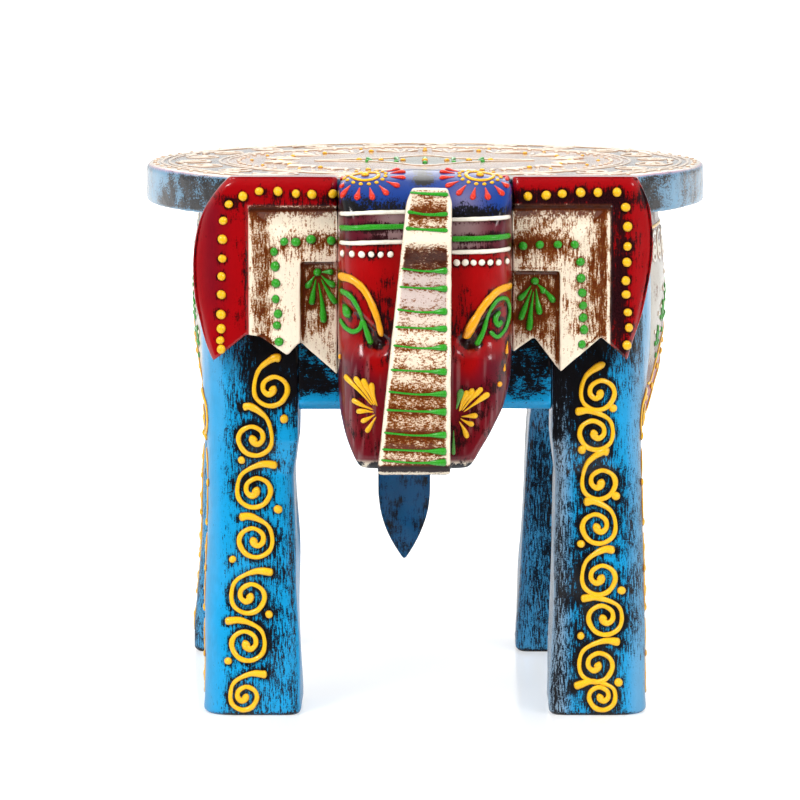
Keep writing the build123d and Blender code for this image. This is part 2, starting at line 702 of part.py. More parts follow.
# ---------------------------------------------------------------- the stool
os.makedirs("parts", exist_ok=True)
make_seat("seat")
make_leg("leg_front_left", -1, 1)
make_leg("leg_front_right", 1, 1)
make_leg("leg_rear_left", -1, -1)
make_leg("leg_rear_right", 1, -1)
make_tendrils("leg_front_left_tendrils", -1, 1, (left_tendrils, left_drops))
make_tendrils("leg_front_right_tendrils", 1, 1, (right_tendrils, right_drops))
make_tendrils("leg_rear_left_tendrils", -1, -1, even_column(rear_column_top, 1))
make_tendrils("leg_rear_right_tendrils", 1, -1, even_column(rear_column_top, 1))
make_side_board("side_board_left", -1)
make_side_board("side_board_right", 1)
make_end_board("front_board", 1)
make_end_board("rear_board", -1)
make_head("head")
make_trunk("trunk")
left_shape = (left_ear_zigzag, left_ear_curve, left_panel_width, left_hollow_width, left_hollow_drop)
right_shape = (right_ear_zigzag, right_ear_curve, right_panel_width, right_hollow_width, right_hollow_drop)
make_ear("ear_left", -1, *left_shape)
make_ear("ear_right", 1, *right_shape)
make_tail("tail")

places = [seat_dowel_on_leg(side, end) for side, end in EVERY_CORNER]
places += [seat_dowel_on_side(side) for side in (-1, 1)]
dowel_set("seat_dowels", [(place, ABOVE, seat_dowel_bite, dowel_bite) for place in places])
for name, end in (("front_board_dowels", 1), ("rear_board_dowels", -1)):
    places = [(place, side) for side in (-1, 1) for place in board_dowels(side, end)]
    dowel_set(name, [(place, (side, 0, 0), dowel_bite, dowel_bite) for place, side in places])
places = [place for side, end in EVERY_CORNER for place in side_dowels(side, end)]
dowel_set("side_board_dowels", [(place, BEHIND, dowel_bite, dowel_bite) for place in places])
places = [place for side in (-1, 1) for place in ear_dowels(side)]
dowel_set("ear_dowels", [(place, AHEAD, ear_dowel_bite, dowel_bite) for place in places])
dowel_set("trunk_dowels", [(place, AHEAD, trunk_dowel_bite, dowel_bite) for place in trunk_dowels])
screw_set("head_screws", head_screws, screw_back(1), head_screw_bite)
screw_set("tail_screws", tail_screws, screw_back(-1), tail_screw_bite)
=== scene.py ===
"""Dresses the carved elephant stool: worked wood, antiqued enamel and raised cone-work.

Sizes are millimetres in the stool's own frame: +Z is up, the elephant looks
along -Y, and the origin is on the floor.  Left is -X.  Each worked piece is
made from its solid: the wood is rounded and carved, the enamel is brushed on,
the raised paint is pressed onto it, and dark wash is rubbed in round that.
"""

import logging
import math
from dataclasses import dataclass, field
from enum import Enum
from typing import ClassVar, Iterable, Sequence

import bmesh
import bpy
import numpy as np
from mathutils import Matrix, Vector
from mathutils.bvhtree import BVHTree
from mathutils.kdtree import KDTree


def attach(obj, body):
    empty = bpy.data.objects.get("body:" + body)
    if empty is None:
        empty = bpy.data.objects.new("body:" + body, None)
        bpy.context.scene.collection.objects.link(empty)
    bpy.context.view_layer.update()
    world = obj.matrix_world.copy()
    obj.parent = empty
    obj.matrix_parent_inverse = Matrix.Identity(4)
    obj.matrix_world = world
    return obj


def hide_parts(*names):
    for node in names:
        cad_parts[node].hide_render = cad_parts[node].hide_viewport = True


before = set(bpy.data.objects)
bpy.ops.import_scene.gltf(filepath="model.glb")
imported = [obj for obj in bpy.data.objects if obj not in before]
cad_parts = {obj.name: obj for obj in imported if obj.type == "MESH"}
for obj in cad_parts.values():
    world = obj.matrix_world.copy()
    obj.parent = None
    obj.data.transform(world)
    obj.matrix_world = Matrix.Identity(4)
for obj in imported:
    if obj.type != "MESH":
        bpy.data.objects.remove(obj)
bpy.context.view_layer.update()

MM = 0.001
WHITE = (1, 1, 1, 1)
log = logging.getLogger("elephant_stool")

Spot = tuple[float, float]
Triple = tuple[float, float, float]
Tendril = tuple[Spot, Spot]
Profile = Sequence[float]
Socket = bpy.types.NodeSocket
Value = Socket | float
Colour = Socket | np.ndarray


class Paint(Enum):
    """Enamels, stains and bare stuffs, as eight-bit display colours."""

    LEG_BLUE = (18, 160, 220)
    SKY_BLUE = (86, 164, 208)
    CROWN_BLUE = (12, 58, 142)
    TAIL_BLUE = (30, 108, 160)
    EAR_RED = (166, 3, 11)
    FACE_RED = (152, 5, 8)
    CHEEK_RED = (172, 4, 8)
    PLUM = (94, 16, 34)
    CREAM = (255, 240, 216)
    LINEN = (196, 188, 174)
    # Painted reflection: a pale sheen brushed on as colour where the glossy paint would mirror the light.
    LILAC = (196, 176, 176)
    PEACH = (228, 192, 166)
    SLATE = (132, 124, 120)
    SAGE = (146, 150, 128)
    BROWN_WASH = (92, 36, 3)
    BLACK_WASH = (10, 9, 13)
    MAROON_WASH = (34, 3, 8)
    YOLK_YELLOW = (255, 196, 16)
    AMBER = (252, 174, 10)
    LEAF_GREEN = (44, 160, 28)
    EYE_GREEN = (80, 150, 66)
    PETAL_RED = (232, 44, 8)
    CHALK_WHITE = (255, 250, 236)
    IVORY = (238, 220, 198)
    RIM_PINK = (205, 130, 190)
    BARE_WOOD = (168, 122, 78)
    DOWEL_WOOD = (202, 160, 108)
    SCREW_GREY = (150, 148, 144)
    FLOOR_WHITE = (246, 246, 246)

    @property
    def linear(self) -> np.ndarray:
        """The colour in linear light, with an alpha of 1."""
        channels = np.array(self.value) / 255.0
        low, high = channels / 12.92, ((channels + 0.055) / 1.055) ** 2.4
        return np.append(np.where(channels <= 0.04045, low, high), 1.0)


class Slot(Enum):
    """The record's material slots for the pieces that are remade."""

    SEAT = "seat_paint"
    RAISED = "raised_paint"
    BODY = "body_paint"
    CLOTH = "cloth_paint"
    FACE = "face_paint"
    TRUNK = "trunk_paint"
    EAR = "ear_paint"


class Side(Enum):
    """The two sides of the stool. Each value is the sign of X there."""

    LEFT = -1
    RIGHT = 1


class End(Enum):
    """The two ends of the stool. Each value is the sign of Y there."""

    FRONT = -1
    REAR = 1


# ---------------------------------------------------------------- finishes
class NodeSheet:
    """A material's node tree with short ways to add and join nodes."""

    def __init__(self, name: str) -> None:
        """Starts an empty material with a shader and an output.

        Args:
            name: The material's name.
        """
        self.material = bpy.data.materials.new(name)
        self.material.use_nodes = True
        self.tree = self.material.node_tree
        self.tree.nodes.clear()
        self.shader = self.add("BsdfPrincipled")
        out = self.add("OutputMaterial")
        self.tree.links.new(self.shader.outputs[0], out.inputs[0])

    def add(self, kind: str) -> bpy.types.Node:
        """Adds a node by the last part of Blender's name for it."""
        return self.tree.nodes.new("ShaderNode" + kind)

    def join(self, source: Socket, node: bpy.types.Node, socket: str) -> None:
        """Links an output socket to a node's named input."""
        self.tree.links.new(source, node.inputs[socket])

    def feed(self, source: Value | Colour, socket: Socket) -> None:
        """Links a source to an input, or sets a plain number or colour there.

        Args:
            source: The socket, number or colour.
            socket: The input that takes it.
        """
        if isinstance(source, Socket):
            self.tree.links.new(source, socket)
        else:
            socket.default_value = source if isinstance(source, (int, float)) else list(source)

    def fix(self, numbers: dict[str, float]) -> None:
        """Sets numbers that are the same all over the surface on the shader's own sockets."""
        for name, number in numbers.items():
            self.shader.inputs[name].default_value = number

    def layer(self, name: str, output: str) -> Socket:
        """Adds a node that reads a painted layer of the mesh, and gives the named output."""
        node = self.add("Attribute")
        node.attribute_name = name
        return node.outputs[output]

    def noise(self, size: float, detail: float, stretch: Triple = (1, 1, 1), rough: float = 0.6) -> Socket:
        """Adds a noise fixed to the stool.

        Args:
            size: The size of its features, in millimetres.
            detail: How many finer octaves it has.
            stretch: How much longer the features are along X, Y and Z.
            rough: The weight of the finer octaves.

        Returns:
            The noise's value socket.
        """
        place = self.add("TexCoord")
        scale = self.add("Mapping")
        scale.inputs["Scale"].default_value = [1 / value for value in stretch]
        node = self.add("TexNoise")
        node.inputs["Scale"].default_value = 1 / (size * MM)
        node.inputs["Detail"].default_value = detail
        node.inputs["Roughness"].default_value = rough
        self.join(place.outputs["Object"], scale, "Vector")
        self.join(scale.outputs[0], node, "Vector")
        return node.outputs[0]

    def maths(self, kind: str, first: Value, second: Value) -> Socket:
        """Adds a sum, product or other operation on two values.

        Args:
            kind: Blender's name of the operation.
            first: The first value or socket.
            second: The second value or socket.

        Returns:
            The result's socket.
        """
        node = self.add("Math")
        node.operation = kind
        self.feed(first, node.inputs[0])
        self.feed(second, node.inputs[1])
        return node.outputs[0]

    def sway(self, noise: Socket, reach: float) -> Socket:
        """Centres a noise on 0 and scales it by the reach."""
        return self.maths("MULTIPLY", self.maths("SUBTRACT", noise, 0.5), reach)

    def ramp(self, value: Socket, low: float, high: float, start: float = 0.0, end: float = 1.0) -> Socket:
        """Adds a smooth step of a value.

        Args:
            value: The socket to read.
            low: The value that gives start.
            high: The value that gives end.
            start: The result at low.
            end: The result at high.

        Returns:
            The result's socket.
        """
        node = self.add("MapRange")
        node.interpolation_type = "SMOOTHSTEP"
        for name, number in zip(("From Min", "From Max", "To Min", "To Max"), (low, high, start, end)):
            node.inputs[name].default_value = number
        self.join(value, node, "Value")
        return node.outputs[0]

    def blend(self, share: Value, first: Colour, second: Colour, kind: str = "MIX") -> Socket:
        """Adds a mix of two colours.

        Args:
            share: The socket with the second colour's share.
            first: The first colour or its socket.
            second: The second colour or its socket.
            kind: MIX lays the second colour over the first, MULTIPLY glazes the first with it.

        Returns:
            The mixed colour's socket.
        """
        node = self.add("Mix")
        node.data_type = "RGBA"
        node.blend_type = kind
        self.feed(share, node.inputs[0])
        colours = [socket for socket in node.inputs if socket.type == "RGBA"]
        for socket, colour in zip(colours, (first, second)):
            self.feed(colour, socket)
        return next(socket for socket in node.outputs if socket.type == "RGBA")

    def shade(self, colour: Socket, value: Socket) -> Socket:
        """Makes a colour lighter or darker.

        Args:
            colour: The colour's socket.
            value: The socket with the factor.

        Returns:
            The new colour's socket.
        """
        node = self.add("HueSaturation")
        self.join(colour, node, "Color")
        self.join(value, node, "Value")
        return node.outputs[0]

    def bump(self, height: Socket, strength: float, depth: float) -> None:
        """Lays a fine relief on the shader.

        Args:
            height: The socket with the relief's height, from 0 to 1.
            strength: How strongly it shows.
            depth: The height of 1, in millimetres.
        """
        node = self.add("Bump")
        node.inputs["Strength"].default_value = strength
        node.inputs["Distance"].default_value = depth * MM
        self.join(height, node, "Height")
        self.join(node.outputs[0], self.shader, "Normal")


@dataclass(frozen=True)
class AntiquedEnamel:
    """Brushed enamel with dark wash rubbed in, read from the mesh's painted layers, under lacquer.

    The wash follows the painted amount, broken up by streaks, specks and clouds. Below bare it leaves
    the enamel clean, above full it hides it, and between them it lies as a thin glaze.
    """

    name: str
    grain: Triple = (1.0, 1.0, 7.0)
    streak_size: float = 0.75
    streak_bite: float = 0.80
    speck_size: float = 0.65
    speck_bite: float = 0.70
    cloud_size: float = 8.0
    cloud_bite: float = 0.55
    shade_change: float = 0.30
    rust_change: float = 4.0
    rust_level: float = 1.1
    bare: float = 0.32
    full: float = 0.70
    soft_edge: float = 0.08
    glaze: float = 0.40
    glaze_limits: Spot = (0.15, 0.9)
    roughness: float = 0.34
    wash_roughness: float = 0.42
    gloss: float = 0.10
    lacquer: float = 0.60
    coat_roughness: float = 0.12
    relief: float = 0.35
    relief_depth: float = 0.35

    def make(self) -> bpy.types.Material:
        """Builds the material.

        Returns:
            The new material.
        """
        sheet = NodeSheet(self.name)
        streak = sheet.noise(self.streak_size, 5.0, self.grain, 0.62)
        speck = sheet.noise(self.speck_size, 6.0, rough=0.72)
        cloud = sheet.noise(self.cloud_size, 3.0)
        level = sheet.layer("wash", "Fac")
        film = sheet.ramp(level, *self.glaze_limits, 0.0, self.glaze)
        for noise, bite in ((streak, self.streak_bite), (speck, self.speck_bite), (cloud, self.cloud_bite)):
            level = sheet.maths("ADD", level, sheet.sway(noise, 2 * bite))
        middle = (self.bare + self.full) / 2
        wash = sheet.ramp(level, middle - self.soft_edge, self.full)
        film = sheet.maths("MAXIMUM", film, sheet.ramp(level, self.bare, middle + self.soft_edge))
        cloudy, streaky = (sheet.sway(noise, self.shade_change) for noise in (cloud, streak))
        enamel_shade = sheet.maths("ADD", sheet.maths("ADD", cloudy, streaky), 1.0)
        enamel = sheet.shade(sheet.layer("paint", "Color"), enamel_shade)
        rust = sheet.maths("ADD", sheet.sway(speck, self.rust_change), self.rust_level)
        stain = sheet.shade(sheet.layer("stain", "Color"), rust)
        clear = sheet.add("Gamma")
        clear.inputs["Gamma"].default_value = 0.5
        sheet.join(stain, clear, "Color")
        glazed = sheet.blend(film, enamel, clear.outputs[0], "MULTIPLY")
        sheet.join(sheet.blend(wash, glazed, stain), sheet.shader, "Base Color")
        dull = sheet.ramp(wash, 0.0, 1.0, self.roughness, self.wash_roughness)
        sheet.join(dull, sheet.shader, "Roughness")
        brushed, rubbed = sheet.maths("MULTIPLY", streak, 0.6), sheet.maths("MULTIPLY", wash, 0.4)
        sheet.bump(sheet.maths("SUBTRACT", brushed, rubbed), self.relief, self.relief_depth)
        sheet.fix({"Specular IOR Level": self.gloss, "Coat Weight": self.lacquer})
        sheet.fix({"Coat Roughness": self.coat_roughness})
        return sheet.material


@dataclass(frozen=True)
class ConePaint:
    """Thick glossy paint squeezed from a cone: deeper in places, dark at its foot and in its pits."""

    paint: Paint
    roughness: float = 0.22
    depth: float = 0.35

    def make(self) -> bpy.types.Material:
        """Builds the material.

        Returns:
            The new material.
        """
        sheet = NodeSheet(f"cone_{self.paint.name.lower()}")
        flow = sheet.noise(2.2, 3.0)
        pits = sheet.noise(0.5, 4.0, rough=0.7)
        deep = self.paint.linear * np.array([0.62, 0.50, 0.42, 1.0])
        colour = sheet.blend(sheet.ramp(flow, 0.50, 0.75, 0.0, self.depth), self.paint.linear, deep)
        foot = sheet.ramp(sheet.layer("rise", "Fac"), 0.02, 0.75, 1.0, 0.0)
        colour = sheet.blend(foot, colour, deep * np.array([0.75, 0.5, 0.3, 1.0]))
        colour = sheet.blend(sheet.ramp(pits, 0.70, 0.78, 0.0, 0.8), colour, Paint.BLACK_WASH.linear)
        sheet.join(colour, sheet.shader, "Base Color")
        dull = sheet.ramp(pits, 0.3, 0.8, self.roughness, 2 * self.roughness)
        sheet.join(dull, sheet.shader, "Roughness")
        sheet.bump(flow, 0.2, 0.3)
        sheet.fix({"Coat Weight": 0.5, "Coat Roughness": 0.08})
        return sheet.material


@dataclass(frozen=True)
class TurnedDowel:
    """Bare hardwood with fine pores along its grain."""

    grain: Triple = (8.0, 1.0, 1.0)

    def make(self) -> bpy.types.Material:
        """Builds the material.

        Returns:
            The new material.
        """
        sheet = NodeSheet("turned_dowel")
        rings = sheet.noise(1.4, 4.0, self.grain)
        pores = sheet.noise(0.3, 3.0, self.grain)
        wood = sheet.blend(rings, Paint.DOWEL_WOOD.linear, Paint.BARE_WOOD.linear)
        sheet.join(wood, sheet.shader, "Base Color")
        sheet.join(sheet.ramp(pores, 0.3, 0.7, 0.55, 0.75), sheet.shader, "Roughness")
        sheet.bump(pores, 0.3, 0.2)
        return sheet.material


@dataclass(frozen=True)
class ScrewSteel:
    """Plain bright steel under a dull film."""

    film_size: float = 2.5

    def make(self) -> bpy.types.Material:
        """Builds the material.

        Returns:
            The new material.
        """
        sheet = NodeSheet("screw_steel")
        film = sheet.noise(self.film_size, 4.0)
        dull = Paint.SCREW_GREY.linear * np.array([0.55, 0.5, 0.45, 1.0])
        sheet.join(sheet.blend(film, Paint.SCREW_GREY.linear, dull), sheet.shader, "Base Color")
        sheet.join(sheet.ramp(film, 0.3, 0.7, 0.28, 0.5), sheet.shader, "Roughness")
        sheet.fix({"Metallic": 1.0})
        return sheet.material


class PaintShelf:
    """Keeps each finish's material, so that pieces of one finish share it."""

    def __init__(self) -> None:
        """Starts an empty shelf."""
        self.jars: dict[object, bpy.types.Material] = {}

    def take(self, finish: AntiquedEnamel | ConePaint | TurnedDowel | ScrewSteel) -> bpy.types.Material:
        """Gives a finish's material, made on first use.

        Args:
            finish: The finish.

        Returns:
            Its material.
        """
        if finish not in self.jars:
            self.jars[finish] = finish.make()
        return self.jars[finish]


SHELF = PaintShelf()


# ---------------------------------------------------------------- worked wood
@dataclass(frozen=True)
class Waver:
    """A smooth random height over space, summed from waves in random directions."""

    seed: int
    length: float
    stretch: Triple = (1.0, 1.0, 1.0)
    count: int = 20

    def at(self, points: np.ndarray) -> np.ndarray:
        """Gives the height at each point.

        Args:
            points: Places in millimetres, one per row.

        Returns:
            Heights with a spread of about 1.
        """
        draw = np.random.default_rng(self.seed)
        ways = draw.normal(size=(self.count, 3))
        ways /= np.linalg.norm(ways, axis=1, keepdims=True)
        ways *= 2 * math.pi / self.length * draw.uniform(0.6, 1.5, (self.count, 1))
        phases = draw.uniform(0, 2 * math.pi, self.count)
        waves = np.sin(points / np.array(self.stretch) @ ways.T + phases)
        return waves.sum(axis=1) / math.sqrt(self.count / 2)


def show(name: str, data: bpy.types.ID) -> bpy.types.Object:
    """Puts a new object into the scene.

    Args:
        name: The object's name.
        data: Its mesh, lamp or camera.

    Returns:
        The new object.
    """
    thing = bpy.data.objects.new(name, data)
    bpy.context.scene.collection.objects.link(thing)
    return thing


def step(values: np.ndarray, low: float, high: float) -> np.ndarray:
    """Rises smoothly from 0 at low to 1 at high.

    Args:
        values: The values to read.
        low: The value that gives 0. It may be above high, for a falling step.
        high: The value that gives 1.

    Returns:
        The steps, one per value.
    """
    share = np.clip((values - low) / (high - low), 0.0, 1.0)
    return share * share * (3 - 2 * share)


def bell(values: np.ndarray, middle: float, width: float) -> np.ndarray:
    """Gives a smooth bump of height 1 round a middle value, with that half width."""
    return np.exp(-(((values - middle) / width) ** 2))


# WELD, LINE_CORE and CONE_START are millimetres, and TINY keeps a division from failing. The rest
# are the cone's habits, in shares: line widths from start to end, a dot's section, a scroll's curl.
WELD = 0.001
LINE_CORE = 0.6
CONE_START = 400.0
TINY = 1e-12
EVEN = (1.0, 1.0)
PETAL_PROFILE = (0.22, 0.34, 0.62, 0.96, 1.0)
DOT_SECTION = ((0.8, -0.30), (1.0, 0.0), (0.96, 0.16), (0.80, 0.31), (0.5, 0.42), (0.14, 0.46))
SCROLL_PROFILE = (1.85, 1.35, 0.9, 0.85, 0.95, 1.0, 1.1, 1.1, 0.95, 1.0, 1.1, 1.9)
SCROLL_CURL = (
    (-0.96, 0.12), (-0.80, -0.60), (-0.15, -0.98), (0.55, -0.80), (0.94, -0.15), (0.78, 0.42),
    (0.20, 0.70), (-0.36, 0.42), (-0.44, -0.05), (-0.14, -0.32), (0.14, -0.10), (0.0, 0.14),
)


class Timber:
    """One worked wooden piece as arrays of points, ready to be carved, painted and rubbed."""

    def __init__(self, node: str, grain: float, rounding: int) -> None:
        """Copies a solid as one even skin with rounded edges.

        Args:
            node: The solid's node.
            grain: The size of the skin's faces, in millimetres.
            rounding: How many times its edges are softened.
        """
        self.node = node
        self.mesh = self.even_skin(grain)
        count = len(self.mesh.vertices)
        flat = np.empty(count * 3)
        self.mesh.vertices.foreach_get("co", flat)
        self.points = flat.reshape(-1, 3) / MM
        pairs = np.empty(len(self.mesh.edges) * 2, dtype=np.int64)
        self.mesh.edges.foreach_get("vertices", pairs)
        self.pairs = pairs.reshape(-1, 2)
        self.links = np.bincount(self.pairs.ravel(), minlength=count)
        self.blank = self.points.copy()
        for _ in range(rounding):
            self.points += 0.5 * (self.around(self.points) - self.points)
        self.marks: list[Vector] = []
        self.away = np.empty(0)
        self.settle()

    def even_skin(self, grain: float) -> bpy.types.Mesh:
        """Covers the solid with one skin of even faces.

        Args:
            grain: The size of the faces, in millimetres.

        Returns:
            The new mesh.
        """
        rough = show(self.node + "_blank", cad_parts[self.node].data.copy())
        shell = bmesh.new()
        shell.from_mesh(rough.data)
        bmesh.ops.remove_doubles(shell, verts=shell.verts, dist=WELD * MM)
        shell.to_mesh(rough.data)
        shell.free()
        remesh = rough.modifiers.new("even", "REMESH")
        remesh.mode = "VOXEL"
        remesh.voxel_size = grain * MM
        scene_graph = bpy.context.evaluated_depsgraph_get()
        mesh = bpy.data.meshes.new_from_object(rough.evaluated_get(scene_graph))
        bpy.data.objects.remove(rough)
        mesh.materials.clear()
        mesh.name = self.node + "_worked"
        return mesh

    def around(self, values: np.ndarray) -> np.ndarray:
        """Gives each point the mean of its neighbours' values.

        Args:
            values: One row or number per point.

        Returns:
            The means, in the same shape.
        """
        rows = values.reshape(len(self.links), -1)
        first, second = self.pairs.T
        count = len(self.links)
        sums = [
            np.bincount(first, column[second], count) + np.bincount(second, column[first], count)
            for column in rows.T
        ]
        return (np.stack(sums, axis=1) / self.links[:, None]).reshape(values.shape)

    def settle(self) -> None:
        """Writes the points to the mesh and reads its new normals."""
        self.mesh.vertices.foreach_set("co", (self.points * MM).ravel())
        self.mesh.update()
        flat = np.empty(len(self.points) * 3)
        self.mesh.vertex_normals.foreach_get("vector", flat)
        self.normals = flat.reshape(-1, 3)

    def push(self, heights: np.ndarray) -> None:
        """Moves the skin out along its normals by the heights, in millimetres."""
        self.points += self.normals * heights[:, None]
        self.settle()

    def shift(self, axis: int, distances: np.ndarray) -> None:
        """Moves points along one axis by the distances, in millimetres."""
        self.points[:, axis] += distances
        self.settle()

    def keep_inside(self) -> None:
        """Pulls points that left the solid's own box back onto it."""
        low, high = self.blank.min(axis=0), self.blank.max(axis=0)
        self.points = np.clip(self.points, low, high)
        self.settle()

    def sharpness(self, spread: int = 2) -> np.ndarray:
        """Measures how far each point stands out of its surroundings.

        Args:
            spread: How many times the measure is evened out.

        Returns:
            Millimetres, above 0 on edges and below 0 in hollows.
        """
        out = ((self.points - self.around(self.points)) * self.normals).sum(axis=1)
        for _ in range(spread):
            out = self.around(out)
        return out

    def tree(self) -> BVHTree:
        """Gives the skin as it is now, for pressing paint onto it."""
        faces = [tuple(face.vertices) for face in self.mesh.polygons]
        return BVHTree.FromPolygons((self.points * MM).tolist(), faces)

    def nearness(self, reach: float) -> np.ndarray:
        """Tells how near each point is to raised paint.

        Args:
            reach: The distance at which the nearness has faded to 0, in millimetres.

        Returns:
            Values from 0, far, to 1, at the paint.
        """
        if not self.marks:
            return np.zeros(len(self.points))
        if not len(self.away):
            spots = KDTree(len(self.marks))
            for index, mark in enumerate(self.marks):
                spots.insert(mark, index)
            spots.balance()
            self.away = np.array([spots.find(point)[2] for point in (self.points * MM).tolist()]) / MM
        return step(self.away, reach, LINE_CORE)

    def layer(self, name: str, values: np.ndarray) -> None:
        """Stores a painted layer on the mesh.

        Args:
            name: The layer's name.
            values: A number or an RGBA colour per point.
        """
        if values.ndim == 1:
            store = self.mesh.attributes.new(name, "FLOAT", "POINT")
            store.data.foreach_set("value", values)
        else:
            store = self.mesh.color_attributes.new(name, "FLOAT_COLOR", "POINT")
            store.data.foreach_set("color", np.clip(values, 0, 1).ravel())

    def dress(self, coat: "Coat", finish: AntiquedEnamel, slot: Slot) -> bpy.types.Object:
        """Turns the piece into a shown object that stands for its solid.

        Args:
            coat: The enamel, stain and wash over the skin.
            finish: The material that shows them.
            slot: The record's slot for the piece. Not used.

        Returns:
            The new object.
        """
        self.layer("paint", coat.paint)
        self.layer("stain", coat.stain)
        self.layer("wash", coat.wash)
        self.mesh.shade_smooth()
        self.mesh.materials.append(SHELF.take(finish))
        piece = show(self.node + "_painted", self.mesh)
        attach(piece, "root")
        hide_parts(self.node)
        log.info("%s: %d points", piece.name, len(self.points))
        return piece


class Coat:
    """The enamel colours over one piece, and how much dark wash lies on them."""

    def __init__(self, timber: Timber, ground: Paint, stain: Paint, wash: float) -> None:
        """Brushes one enamel over the whole piece.

        Args:
            timber: The piece.
            ground: The enamel.
            stain: The colour of the wash.
            wash: The amount of wash, where 0.5 covers half.
        """
        count = len(timber.points)
        self.paint = np.tile(ground.linear, (count, 1))
        self.stain = np.tile(stain.linear, (count, 1))
        self.wash = np.full(count, wash)

    def brush(self, paint: Paint, share: np.ndarray) -> None:
        """Brushes another enamel over part of the piece, by share from 0 to 1."""
        self.paint += share[:, None] * (paint.linear - self.paint)

    def tint(self, stain: Paint, share: np.ndarray) -> None:
        """Changes the wash's colour over part of the piece, by share from 0 to 1."""
        self.stain += share[:, None] * (stain.linear - self.stain)

    def rub(self, amount: np.ndarray) -> None:
        """Adds wash, or wipes it off where the amount is below 0."""
        self.wash = self.wash + amount


# ---------------------------------------------------------------- raised paint
class Face(Enum):
    """The sides a drawing is pressed on from. Each value is the across, up and outward direction."""

    FRONT = ((1, 0, 0), (0, 0, 1), (0, -1, 0))
    REAR = ((1, 0, 0), (0, 0, 1), (0, 1, 0))
    LEFT = ((0, 1, 0), (0, 0, 1), (-1, 0, 0))
    RIGHT = ((0, 1, 0), (0, 0, 1), (1, 0, 0))
    TOP = ((1, 0, 0), (0, 1, 0), (0, 0, 1))
    CROWN = ((1, 0, 0), (0, math.sqrt(0.5), math.sqrt(0.5)), (0, -math.sqrt(0.5), math.sqrt(0.5)))


def smooth_path(spots: Sequence[Spot], step_length: float) -> np.ndarray:
    """Draws a smooth curve through given spots.

    Args:
        spots: The spots, in millimetres.
        step_length: The distance between the curve's points.

    Returns:
        The curve's points, one per row, evenly spaced.
    """
    hold = np.array(spots, dtype=float)
    ends = np.vstack([2 * hold[0] - hold[1], hold, 2 * hold[-1] - hold[-2]])
    share = np.linspace(0, 1, 8, endpoint=False)[:, None]
    runs = []
    for before, first, second, after in zip(ends, ends[1:], ends[2:], ends[3:]):
        bend = 2 * before - 5 * first + 4 * second - after
        twist = 3 * (first - second) + after - before
        runs.append(0.5 * (2 * first + (second - before) * share + bend * share**2 + twist * share**3))
    curve = np.vstack([*runs, hold[-1:]])
    along = np.append(0, np.cumsum(np.linalg.norm(np.diff(curve, axis=0), axis=1)))
    count = max(3, int(round(along[-1] / step_length)) + 1)
    even = np.linspace(0, along[-1], count)
    return np.stack([np.interp(even, along, curve[:, axis]) for axis in range(2)], axis=1)


